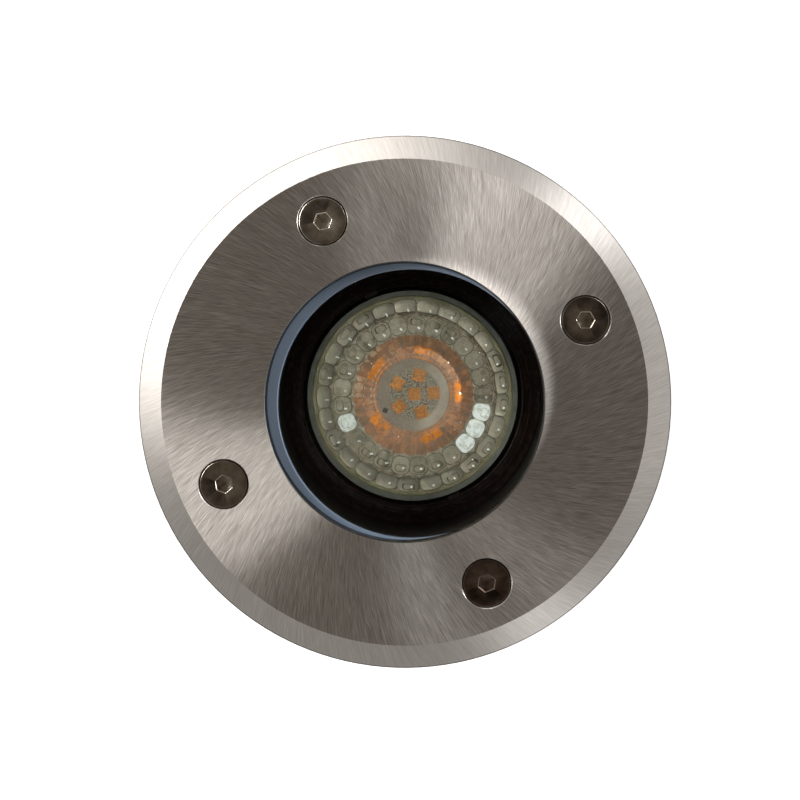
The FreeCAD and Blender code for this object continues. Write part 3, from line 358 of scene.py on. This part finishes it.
def plain_metal(name, dark, light, rough_low, rough_high, grain=900.0):
    """Metal with a fine grain and broad patches of two tones."""
    s = Shader(name)
    tone = s.grain(grain, 4.0, 0.6)
    broad = s.grain(grain / 9, 2.0, 0.5)
    return s.show(s.build(
        "BsdfPrincipled",
        Base_Color=s.ramp(tone * 0.5 + broad * 0.5, [(0.3, dark), (0.7, light)]),
        Metallic=1.0,
        Roughness=s.spread(broad, rough_low, rough_high),
        Normal=s.bump(tone, 0.02 * MM, 0.4),
    ))


# ---------------------------------------------------------------- paints, plastics, rubbers

def powder_coat():
    """Fine orange-peel texture of black powder on a casting."""
    s = Shader("black_powder_coat")
    peel = s.grain(1500.0, 2.0, 0.5)
    broad = s.grain(60.0, 3.0, 0.5)
    colour = s.ramp(broad, [(0.3, (0.009, 0.0065, 0.0055)), (0.7, (0.018, 0.0135, 0.0115))])
    return s.show(s.build(
        "BsdfPrincipled",
        Base_Color=colour,
        Roughness=s.spread(broad, 0.42, 0.55),
        Specular_IOR_Level=0.2,
        Normal=s.bump(peel, 0.06 * MM, 0.5),
    ))


def turned_black():
    """Brown-black ring with fine concentric lines."""
    s = Shader("turned_black_ring")
    line_pitch = 0.45 * MM
    radius, _ = s.polar()
    line = s.sine(radius * (TURN / line_pitch))
    uneven = s.noise(s.join(radius * 2200.0, 0.0, 0.0), 1.0, 2.0, 0.5)
    grain = s.grain(700.0, 3.0, 0.6)
    colour = s.ramp(uneven * 0.6 + grain * 0.4, [
        (0.34, (0.008, 0.003, 0.002)), (0.5, (0.018, 0.008, 0.006)), (0.64, (0.070, 0.040, 0.032)),
    ])
    return s.show(s.build(
        "BsdfPrincipled",
        Base_Color=colour,
        Roughness=s.spread(grain, 0.26, 0.42),
        Specular_IOR_Level=0.22,
        Normal=s.bump(line + uneven * 2.0, 0.03 * MM, 0.6),
    ))


def soft_plastic(name, dark, light, rough_low=0.38, rough_high=0.5, grain=1200.0):
    """Moulding, rubber, ceramic or board with a fine grain and broad patches of two tones."""
    s = Shader(name)
    tone = s.grain(grain, 3.0, 0.55)
    broad = s.grain(grain / 14, 3.0, 0.5)
    return s.show(s.build(
        "BsdfPrincipled",
        Base_Color=s.ramp(broad, [(0.3, dark), (0.7, light)]),
        Roughness=s.spread(broad, rough_low, rough_high),
        Normal=s.bump(tone, 0.03 * MM, 0.5),
    ))


# ---------------------------------------------------------------- glass

PLATE_IOR = 1.45
LAMP_IOR = 1.49
# Where the painted glint sits on a lenslet, from its own middle.
GLINT_AWAY = math.radians(-28)
GLINT = Vector((math.cos(GLINT_AWAY), math.sin(GLINT_AWAY))) * 0.9 * MM
# The directions of the lenslets with a painted white reflection: three side by side, and one
# nearly across from them.
REFLECTION_THREE = math.radians(354)
REFLECTION_ONE = math.radians(219)


def clear_glass():
    """Polished plate glass: clear and faintly green, with a reflection that grows at the edges."""
    s = Shader("clear_plate_glass")
    radius, _ = s.polar()
    smear = s.grain(90.0, 4.0, 0.6)
    plate = s.ramp(smear, [(0.3, (0.925, 0.955, 0.94)), (0.7, (0.95, 0.97, 0.96))])
    wall = s.above(radius, GLASS_RADIUS - 0.9 * MM, 0.1 * MM)
    clear = s.build("BsdfTransparent", Color=s.mix(wall, plate, (0.56, 0.72, 0.65)))
    gloss = s.build("BsdfGlossy", Color=WHITE, Roughness=s.spread(smear, 0.01, 0.05))
    # Only front faces reflect, because the plate doesn't bend the light that is inside it.
    outside = 1.0 - s.output_of(s.add("ShaderNodeNewGeometry"), "Backfacing")
    return s.show(s.blend(s.build("Fresnel", IOR=PLATE_IOR) * outside, clear, gloss))


def lamp_glass(s, tint, rough, milk, milk_colour):
    """Glass that bends what lies below it, lets light through to it, and is cloudy by a share,
    which on the lens also carries the painted reflection and glints.
    """
    bent = s.build("BsdfGlass", IOR=LAMP_IOR, Color=tint, Roughness=rough)
    clear = s.build("BsdfTransparent", Color=tint)
    shadow = s.output_of(s.add("ShaderNodeLightPath"), "Is Shadow Ray")
    cloud = s.build("BsdfDiffuse", Color=milk_colour)
    return s.blend(milk, s.blend(shadow, bent, clear), cloud)


def cup_glass():
    """Pressed glass wall of the lamp, a little cloudy."""
    s = Shader("lamp_cup_glass")
    haze = s.grain(260.0, 4.0, 0.6)
    tint = s.ramp(haze, [(0.3, (0.74, 0.73, 0.64)), (0.7, (0.84, 0.83, 0.74))])
    rough, milk = s.spread(haze, 0.0, 0.03), s.spread(haze, 0.28, 0.5)
    return s.show(lamp_glass(s, tint, rough, milk, tint))


def lenslet_painted_shade(s, across, out, blotch, lot):
    """Draw one lenslet: its face, its outline of painted shade, and the small dark ring of painted
    refraction that some faces show.

    Across and out run from -1 to 1 over the lenslet, blotch breaks the lines, and lot chooses
    the lenslets that show the painted ring.
    """
    square = abs(across) ** 3.2 + abs(out) ** 3.2
    face = s.below(square, 0.80, 0.08)
    crease_shade = s.band(square, 0.84, 1.02, 0.07) * s.spread(blotch, 0.1, 1.3)
    small = abs(across / 0.50) ** 4.0 + abs((out - 0.30) / 0.34) ** 4.0
    ring = s.band(small, 0.62, 1.10, 0.16) * s.rise(blotch, 0.40, 0.58, low=0.2)
    painted_ring = ring * s.rise(lot, 0.45, 0.52)
    return face, s.largest(crease_shade * 0.8, painted_ring), ring


def lens_plastic():
    """Clear moulding: lenslets have fine dark outlines of painted shade and painted glints, and a
    few carry a painted white reflection that glows.
    """
    s = Shader("lens_plastic_clear")
    radius, angle = s.polar()
    x, y, _ = s.split(s.place)
    haze = s.grain(260.0, 4.0, 0.6)
    blotch = s.grain(620.0, 2.0, 0.5)
    # Gathered over the rings: painted shade, painted glints and the painted white reflection.
    lines, glint, painted_reflection = 0.0, 0.0, 0.0
    for lenslets in LARGE_RINGS:
        middle, half_out, _, count, phase = lenslets
        turn = angle * (count / TURN) + (count + phase)
        across = s.math("FRACT", turn) * 2.0 - 1.0
        out = (radius - middle) / half_out
        # The direction of the lenslet's own middle.
        own = (s.math("FLOOR", turn) - (count + phase - 0.5)) * (TURN / count)
        lot = s.round_noise(own, 9.0, middle / MM, 1.0, 0.5)
        face, painted_shade, ring = lenslet_painted_shade(s, across, out, blotch, lot)
        # The painted shade of each lenslet joins the lines.
        lines = s.largest(painted_shade, lines)

        # Painted glint: a small bright dot on each lenslet.
        dot_x = x - (s.cosine(own) * middle + GLINT.x)
        dot_y = y - (s.sine(own) * middle + GLINT.y)
        dot = s.below(s.length(dot_x, dot_y), 0.20 * MM, 0.10 * MM)
        glint = s.largest(dot * s.spread(lot, -0.1, 2.2), glint)
        # Painted reflection: a few lenslets of this ring are painted white.
        if lenslets is REFLECTION_RING:
            three = s.rise(s.cosine(own - REFLECTION_THREE), 0.89, 0.95)
            one = s.rise(s.cosine(own - REFLECTION_ONE), 0.990, 0.996, high=0.8)
            patch = s.rise(blotch, 0.38, 0.58, low=0.40) * s.spread(ring, 1.0, 0.1)
            painted_reflection = face * s.largest(three, one) * patch

    clear = s.ramp(haze, [(0.3, (0.88, 0.85, 0.80)), (0.7, (0.96, 0.935, 0.895))])
    # Painted shade: the outlines and rings darken the glass's tint.
    tint = s.mix(lines, clear, (0.24, 0.225, 0.16))
    shine = s.math("MINIMUM", s.largest(painted_reflection, glint), 1.0)
    # The cloudy share is real haze outside the clear centre, plus the painted reflection and
    # glints, which make it white.
    hazy = s.above(radius, CLEAR_RADIUS, 0.1 * MM) * s.spread(haze, 0.015, 0.05)
    milk = s.largest(hazy, shine * 0.85)
    milk_colour = s.mix(shine, (0.80, 0.80, 0.72), WHITE)
    glass = lamp_glass(s, tint, s.spread(haze, 0.0, 0.03), milk, milk_colour)
    # Painted light: the painted reflection and glints also glow.
    glow = s.build("Emission", Color=s.mix(shine, BLACK, (0.36, 0.38, 0.36)))
    return s.show(s.total(glass, glow))


# ---------------------------------------------------------------- inside the lamp

def painted_led_reflection(s, radius, angle, colour):
    """Lay the LEDs' painted mirror image over a colour: a toothed ring, an arc by each LED, and
    painted highlight dots.
    """
    streak = s.round_noise(angle, 16.0, radius * 900.0, 4.0, 0.65)
    salmon = s.ramp(streak, [
        (0.36, (0.24, 0.17, 0.13)), (0.50, (0.46, 0.21, 0.12)), (0.62, (0.74, 0.35, 0.19)),
    ])
    tooth_waves, tooth_length = 27.0, 0.55 * MM
    jagged = radius + abs(s.sine(angle * tooth_waves)) * tooth_length
    ring = s.band(jagged, 9.8 * MM, 15.0 * MM, 0.2 * MM)
    colour = s.mix(ring * 0.88, colour, salmon)

    arc_count, first_arc = 5.0, math.radians(24)
    petals = s.rise(s.cosine((angle - first_arc) * arc_count), 0.15, 0.45)
    broken = s.rise(streak, 0.42, 0.50)
    arcs = s.band(radius, 10.3 * MM, 12.3 * MM, 0.25 * MM) * (petals * broken)
    colour = s.mix(arcs, colour, (1.0, 0.33, 0.01))

    # The dots are painted highlights, which show on one side only, in rows between two radii.
    inner, outer, row_pitch = 10.2 * MM, 14.6 * MM, 1.5 * MM
    dot_waves, dot_side = 20.0, math.radians(178)
    row = abs(s.sine((radius - inner) * (math.pi / row_pitch)))
    dots = s.rise(row * abs(s.sine(angle * dot_waves)), 0.70, 0.90)
    side = s.rise(s.cosine(angle - dot_side), 0.72, 0.88)
    dots = dots * side * s.band(radius, inner, outer, 0.1 * MM)
    return s.mix(dots * 0.75, colour, (1.0, 0.80, 0.64))


def reflector_dish():
    """Satin dish with the LEDs' painted reflection on it."""
    s = Shader("lamp_reflector_dish")
    radius, angle = s.polar()
    grain = s.grain(900.0, 4.0, 0.65)
    facet = s.round_noise(angle, 14.0, radius * 500.0, 3.0, 0.6)
    grey = s.ramp(facet * 0.75 + grain * 0.25, [
        (0.36, (0.24, 0.235, 0.205)), (0.5, (0.55, 0.54, 0.50)), (0.66, (0.86, 0.85, 0.82)),
    ])
    return s.show(s.build(
        "BsdfPrincipled",
        Base_Color=painted_led_reflection(s, radius, angle, grey),
        Metallic=0.25,
        Roughness=s.spread(grain, 0.34, 0.48),
        Normal=s.bump(grain, 0.08 * MM, 0.5),
    ))


def speckled_board():
    """Grey solder mask: dark speckle, a bare rim, a pale patch and a small dark component, under
    the LEDs' painted reflection.
    """
    s = Shader("speckled_board")
    radius, angle = s.polar()
    speck = s.grain(2600.0, 3.0, 0.75)
    patch = s.grain(380.0, 2.0, 0.5)
    colour = s.ramp(speck, [
        (0.43, (0.04, 0.032, 0.026)), (0.49, (0.30, 0.27, 0.24)), (0.60, (0.52, 0.485, 0.46)),
    ])
    bare = s.band(radius, 6.0 * MM, 9.6 * MM, 0.9 * MM)
    colour = s.mix(bare * 0.8, colour, (0.31, 0.26, 0.245))
    side = s.rise(s.cosine(angle - math.radians(10)), 0.1, 0.6)
    pale = s.band(radius, 6.3 * MM, 9.0 * MM, 0.5 * MM) * side
    colour = s.mix(pale * s.spread(patch, 0.2, 1.0), colour, (0.64, 0.61, 0.60))

    x, y, _ = s.split(s.place)
    chip_x, chip_y, chip_half = -5.3 * MM, -6.3 * MM, 0.6 * MM
    from_chip = s.largest(abs(x - chip_x), abs(y - chip_y))
    colour = s.mix(s.below(from_chip, chip_half, 0.05 * MM), colour, (0.03, 0.025, 0.02))
    return s.show(s.build(
        "BsdfPrincipled",
        Base_Color=painted_led_reflection(s, radius, angle, colour),
        Roughness=0.5,
        Normal=s.bump(speck, 0.03 * MM, 0.5),
    ))


def led_phosphor():
    """Orange silicone with phosphor, with small dark grains in it."""
    s = Shader("led_phosphor")
    tone = s.grain(1300.0, 3.0, 0.6)
    grains = s.grain(3200.0, 2.0, 0.7)
    colour = s.ramp(tone, [
        (0.3, (0.55, 0.16, 0.0)), (0.6, (0.84, 0.29, 0.0)), (0.8, (0.95, 0.42, 0.0)),
    ])
    dark = s.rise(grains, 0.45, 0.52, low=1.0, high=0.0)
    return s.show(s.build(
        "BsdfPrincipled",
        Base_Color=s.mix(dark * 0.85, colour, (0.16, 0.07, 0.015)),
        Roughness=0.42,
        Normal=s.bump(tone, 0.05 * MM, 0.5),
    ))


# ---------------------------------------------------------------- meshes

def add_object(name, data):
    """Put a mesh, light or camera into the scene."""
    thing = bpy.data.objects.new(name, data)
    bpy.context.scene.collection.objects.link(thing)
    return thing


def new_piece(name, vertices, faces, material, body, node):
    """Make a mesh object that rides on a body and, where a node is named, stands for it."""
    mesh = bpy.data.meshes.new(name)
    mesh.from_pydata(vertices, [], faces)
    mesh.validate()
    work = bmesh.new()
    work.from_mesh(mesh)
    bmesh.ops.recalc_face_normals(work, faces=work.faces)
    work.to_mesh(mesh)
    work.free()
    mesh.shade_smooth()
    mesh.set_sharp_from_angle(angle=math.radians(28))
    mesh.materials.append(material)
    piece = add_object(name, mesh)
    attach(piece, body)
    if node:
        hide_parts(node)


def flat_ring(radius, z):
    """Ring for lathe() that is a plain circle."""
    return lambda angle: (radius, z)


def lathe(rings, centre, steps, vertices, faces, hollow=False):
    """Add a turned shape. A ring is a function of the angle that gives (radius, z).

    The first and last ring are filled in, or joined to each other where the shape is hollow.
    """
    start = len(vertices)
    for ring in rings:
        for step in range(steps):
            angle = TURN * step / steps
            radius, z = ring(angle)
            x, y = radius * math.cos(angle), radius * math.sin(angle)
            vertices.append((centre[0] + x, centre[1] + y, z))
    for row in range(len(rings) if hollow else len(rings) - 1):
        a = start + row * steps
        b = start + (row + 1) % len(rings) * steps
        for step in range(steps):
            following = (step + 1) % steps
            faces.append((a + step, a + following, b + following, b + step))
    if not hollow:
        last = start + (len(rings) - 1) * steps
        faces.append(tuple(start + step for step in range(steps)))
        faces.append(tuple(last + step for step in range(steps)))


def hexagon_ring(z, turn, scale):
    """Ring of the screws' socket, larger or smaller than the socket by a scale."""
    def ring(angle):
        local = (angle - turn) % (math.pi / 3) - math.pi / 6
        return scale * HEX_ACROSS / 2 / math.cos(local), z
    return ring


def thread_ring(z):
    """Ring of the screws' thread, which is cut in where the thread's groove passes."""
    def ring(angle):
        climb = (z / THREAD_PITCH - angle / TURN) % 1.0
        groove = min(1.0, max(0.0, abs(2 * climb - 1) * 1.3 - 0.15))
        return SCREW_SHANK - THREAD_DEPTH * groove, z
    return ring


def screw_rings(turn):
    """Rings of a countersunk screw, from its tip over its rounded head into its socket."""
    top = SCREW_TOP
    thread_low = SCREW_BOTTOM + SCREW_TIP
    thread_length = top - THREAD_END - thread_low
    steps = round(thread_length / (THREAD_PITCH / THREAD_RINGS))
    core = SCREW_SHANK - THREAD_DEPTH
    return [
        flat_ring(SCREW_SHANK - SCREW_TIP, SCREW_BOTTOM),
        *(thread_ring(thread_low + thread_length * step / steps) for step in range(steps + 1)),
        flat_ring(core, top - 3.5 * MM),
        flat_ring(core, top - 3.2 * MM),
        flat_ring(SCREW_SHANK, top - 2.9 * MM),
        flat_ring(SCREW_SHANK, top - 2.75 * MM),
        # Cone of the head, its rounded rim and its flat top.
        flat_ring(SCREW_SHANK + 0.12 * MM, top - 2.62 * MM),
        flat_ring(SCREW_HEAD - 0.04 * MM, top - 0.34 * MM),
        flat_ring(SCREW_HEAD, top - 0.28 * MM),
        flat_ring(SCREW_HEAD, top - 0.14 * MM),
        flat_ring(SCREW_HEAD - 0.05 * MM, top - 0.05 * MM),
        flat_ring(SCREW_HEAD - 0.16 * MM, top),
        flat_ring(SCREW_HEAD - 0.20 * MM, top),
        # Bevelled socket with a drilled cone at its bottom.
        hexagon_ring(top, turn, 1.12),
        hexagon_ring(top - 0.01 * MM, turn, 1.10),
        hexagon_ring(top - 0.14 * MM, turn, 1.0),
        hexagon_ring(top - 0.18 * MM, turn, 0.985),
        hexagon_ring(top - 1.75 * MM, turn, 0.985),
        flat_ring(1.30 * MM, top - 1.80 * MM),
        flat_ring(0.1 * MM, top - 2.25 * MM),
    ]


def make_screws(material):
    """The bezel's four screws, each with its socket turned as in the photograph."""
    vertices, faces = [], []
    for azimuth, turn in SCREW_TURNS.items():
        place = math.radians(azimuth) - PHOTO_ROLL
        centre = (SCREW_CIRCLE * math.cos(place), SCREW_CIRCLE * math.sin(place))
        rings = screw_rings(math.radians(turn) - PHOTO_ROLL)
        lathe(rings, centre, SCREW_STEPS, vertices, faces)
    new_piece("bezel_screws_fine", vertices, faces, material,
              body="cover", node="bezel_screws")


def lens_height(radius, angle):
    """Height of the lens's upper side at this place, from its highest point, so 0 or less."""
    sink = LENS_SINK
    if radius < CLEAR_RADIUS:
        sink += CLEAR_SINK * min(1.0, (CLEAR_RADIUS - radius) / CLEAR_SINK)
    rise = 0.0
    for middle, half_out, height, count, phase in LENSLET_RINGS:
        pitch = TURN / count
        local = (angle + phase * pitch) % pitch - pitch / 2
        out = abs(radius - middle) / half_out
        across = abs(local) / (pitch / 2)
        rise = max(rise, height * (1 - out ** DIMPLE_POWER - across ** DIMPLE_POWER))
    return rise - sink


def make_lens(material):
    """Moulded lens: clear sunk centre, rings of lenslets and a plain edge."""
    vertices, faces = [], []
    inner = 0.05 * MM

    def upper_ring(radius):
        return lambda angle: (radius, LENS_HIGH.z + lens_height(radius, angle))

    rings = [flat_ring(inner, LENS_LOW.z), flat_ring(LENS_RADIUS, LENS_LOW.z)]
    for step in range(LENS_STEPS_OUT + 1):
        rings.append(upper_ring(LENS_RADIUS - (LENS_RADIUS - inner) * step / LENS_STEPS_OUT))
    lathe(rings, (0, 0), LENS_STEPS_ROUND, vertices, faces)
    new_piece("lamp_lens_fine", vertices, faces, material,
              body="lamp", node="lamp_lens")


def make_flange(material):
    """Thin flange that closes the gap between the dish and the lamp's glass wall."""
    vertices, faces = [], []
    rings = [
        flat_ring(FLANGE_INNER, FLANGE_LOW),
        flat_ring(FLANGE_INNER, FLANGE_HIGH - FLANGE_BEVEL),
        flat_ring(FLANGE_INNER + FLANGE_BEVEL, FLANGE_HIGH),
        flat_ring(FLANGE_OUTER, FLANGE_HIGH),
        flat_ring(FLANGE_OUTER, FLANGE_LOW),
    ]
    lathe(rings, (0, 0), FLANGE_STEPS, vertices, faces, hollow=True)
    new_piece("lamp_dish_flange", vertices, faces, material,
              body="lamp", node=None)


# ---------------------------------------------------------------- finish of each node

def dress(material, *nodes):
    """Give CAD nodes a finish."""
    for node in nodes:
        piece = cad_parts[node]
        piece.data.materials.clear()
        piece.data.materials.append(material)


dress(brushed_steel(), "bezel_plate")
dress(soft_plastic("blue_grey_silicone", (0.225, 0.30, 0.41), (0.28, 0.37, 0.495), 0.40, 0.52,
                   grain=500.0),
      "top_gasket", "lower_gasket")
dress(clear_glass(), "glass_disc")
dress(powder_coat(), "housing", "base_cap", "cooling_fins")
dress(turned_black(), "lamp_ring")
dress(plain_metal("plain_brass", (0.55, 0.36, 0.13), (0.78, 0.57, 0.27), 0.22, 0.36),
      "threaded_inserts", "terminal_tubes")
dress(plain_metal("nickel_plate", (0.50, 0.49, 0.46), (0.70, 0.69, 0.66), 0.16, 0.28),
      "lamp_pins")
dress(plain_metal("copper_spring", (0.55, 0.26, 0.14), (0.78, 0.42, 0.27), 0.2, 0.34),
      "lampholder_contacts")
dress(plain_metal("zinc_plate", (0.48, 0.50, 0.52), (0.68, 0.70, 0.71), 0.26, 0.42, grain=350.0),
      "lampholder_bracket", "lampholder_screws", "bracket_screws", "terminal_screws")
dress(soft_plastic("white_moulding", (0.62, 0.62, 0.60), (0.74, 0.74, 0.72)), "lamp_base")
dress(soft_plastic("terminal_plastic", (0.60, 0.60, 0.55), (0.72, 0.72, 0.67)), "terminal_block")
dress(soft_plastic("green_board", (0.015, 0.09, 0.03), (0.03, 0.15, 0.06), 0.3, 0.4),
      "driver_board")
dress(soft_plastic("glazed_ceramic", (0.66, 0.63, 0.55), (0.78, 0.75, 0.68), 0.12, 0.22),
      "lampholder_cover", "lampholder_body")
dress(soft_plastic("black_rubber", (0.010, 0.010, 0.010), (0.022, 0.022, 0.022), 0.6, 0.75),
      "gland_washer", "gland_seal")
dress(soft_plastic("gland_polyamide", (0.016, 0.016, 0.017), (0.03, 0.03, 0.032), 0.36, 0.5),
      "gland_body", "gland_nut", "gland_locknut")
dress(cup_glass(), "lamp_cup")
dress(reflector_dish(), "lamp_heatsink")
dress(speckled_board(), "led_board")
dress(led_phosphor(), "led_chips")
make_screws(polished_screw())
make_lens(lens_plastic())
make_flange(plain_metal("dull_aluminium", (0.19, 0.18, 0.165), (0.40, 0.385, 0.36), 0.35, 0.5))


# ---------------------------------------------------------------- floor, light and camera

FLOOR_HALF = 1.5
FLOOR_GLOW = 0.68
# The snoot's beam is this wide where it meets the lens, so that it stays inside the window.
SNOOT_RADIUS = 24.6 * MM
SNOOT_BLEND = 0.12
SNOOT_SIZE = 0.005
# The surround's colours, from level to straight up: the sine of the height, and the colour.
SKY = [
    (0.0, (0.62, 0.61, 0.60)),
    (0.45, (0.54, 0.52, 0.50)),
    (0.62, (0.38, 0.36, 0.34)),
    (0.82, (0.14, 0.12, 0.105)),
    (0.968, (0.11, 0.088, 0.066)),
    (0.988, (0.015, 0.012, 0.010)),
    (1.0, (0.010, 0.008, 0.007)),
]
CAMERA_HEIGHT = 0.210
# Where the camera stands from the window's axis, in the photograph's right and up.
CAMERA_RIGHT = 11.6 * MM
CAMERA_UP = 9.5 * MM
CAMERA_CLIP = 0.005
SENSOR = 36.0
# The photograph's scale at the bezel's face, and its width in pixels.
PIXELS_PER_METRE = 4883.0
PHOTO_WIDTH = 800.0
# Where the centre of the bezel's window stands in the photograph, from its middle, in pixels.
WINDOW_RIGHT = 4.6
WINDOW_UP = -2.1


def make_floor():
    """Plain pale floor under the object, with a weak glow of its own."""
    mesh = bpy.data.meshes.new("floor")
    half = FLOOR_HALF
    corners = [(-half, -half, 0), (half, -half, 0), (half, half, 0), (-half, half, 0)]
    mesh.from_pydata(corners, [], [(0, 1, 2, 3)])
    s = Shader("pale_floor")
    tone = s.grain(6.0, 3.0, 0.5)
    pale = s.ramp(tone, [(0.3, (0.90, 0.90, 0.90)), (0.7, (0.95, 0.95, 0.95))])
    mesh.materials.append(s.show(s.build(
        "BsdfPrincipled",
        Base_Color=pale,
        Roughness=0.8,
        Emission_Color=pale,
        Emission_Strength=FLOOR_GLOW,
    )))
    floor = add_object("floor", mesh)


def photo_direction(azimuth, lean):
    """Unit vector: its azimuth in the photograph's plane, and its lean from upright."""
    turn = math.radians(azimuth) - PHOTO_ROLL
    tilt = math.radians(lean)
    out = math.sin(tilt)
    return Vector((out * math.cos(turn), out * math.sin(turn), math.cos(tilt)))


def aim_light(name, data, target_z, azimuth, lean, distance):
    """Hang a light so that it shines on a point of the object's axis."""
    light = add_object(name, data)
    away = photo_direction(azimuth, lean)
    light.location = Vector((0, 0, target_z)) + away * distance
    light.rotation_mode = "QUATERNION"
    light.rotation_quaternion = (-away).to_track_quat("-Z", "Y")


def add_softbox(name, azimuth, lean, distance, width, height, power, colour):
    """Area light that faces the bezel."""
    data = bpy.data.lights.new(name, "AREA")
    data.shape = "RECTANGLE"
    data.size, data.size_y = width, height
    data.energy = power
    data.color = colour
    aim_light(name, data, FACE_Z, azimuth, lean, distance)


def add_snoot(name, azimuth, lean, distance, power):
    """Narrow light through the window onto the lamp."""
    data = bpy.data.lights.new(name, "SPOT")
    data.spot_size = 2 * math.atan(SNOOT_RADIUS / distance)
    data.spot_blend = SNOOT_BLEND
    data.shadow_soft_size = SNOOT_SIZE
    data.energy = power
    aim_light(name, data, LENS_HIGH.z, azimuth, lean, distance)


def make_world():
    """Soft surround: dim straight up, brighter towards the sides."""
    world = bpy.data.worlds.new("studio")
    world.use_nodes = True
    bpy.context.scene.world = world
    nodes, links = world.node_tree.nodes, world.node_tree.links
    nodes.clear()
    direction = nodes.new("ShaderNodeTexCoord")
    split = nodes.new("ShaderNodeSeparateXYZ")
    ramp = nodes.new("ShaderNodeValToRGB")
    back = nodes.new("ShaderNodeBackground")
    out = nodes.new("ShaderNodeOutputWorld")
    set_stops(ramp, SKY)
    links.new(direction.outputs["Generated"], split.inputs[0])
    links.new(split.outputs["Z"], ramp.inputs[0])
    links.new(ramp.outputs[0], back.inputs[0])
    links.new(back.outputs[0], out.inputs[0])


def make_camera():
    """Camera that looks straight down, rolled and shifted to the photograph's frame."""
    data = bpy.data.cameras.new("camera")
    data.sensor_width = SENSOR
    data.lens = PIXELS_PER_METRE * CAMERA_HEIGHT * SENSOR / PHOTO_WIDTH
    data.shift_x = -(CAMERA_RIGHT * PIXELS_PER_METRE + WINDOW_RIGHT) / PHOTO_WIDTH
    data.shift_y = -(CAMERA_UP * PIXELS_PER_METRE + WINDOW_UP) / PHOTO_WIDTH
    data.clip_start = CAMERA_CLIP
    camera = add_object("camera", data)
    place = Matrix.Translation((CAMERA_RIGHT, CAMERA_UP, FACE_Z + CAMERA_HEIGHT))
    camera.matrix_world = Matrix.Rotation(-PHOTO_ROLL, 4, "Z") @ place
    bpy.context.scene.camera = camera


make_floor()
make_world()
add_softbox("window_left", azimuth=155.5, lean=60, distance=0.9, width=0.55, height=0.34,
            power=6.3, colour=(1.0, 0.99, 0.97))
add_softbox("window_right", azimuth=12, lean=83, distance=1.0, width=0.30, height=0.24,
            power=6.5, colour=(0.97, 0.98, 1.0))
add_softbox("fill_right", azimuth=42, lean=55, distance=0.9, width=0.30, height=0.30,
            power=0.9, colour=(1.0, 0.99, 0.98))
add_snoot("well_light", azimuth=39, lean=8, distance=0.64, power=4.8)
make_camera()
bpy.context.scene.view_settings.view_transform = "Standard"
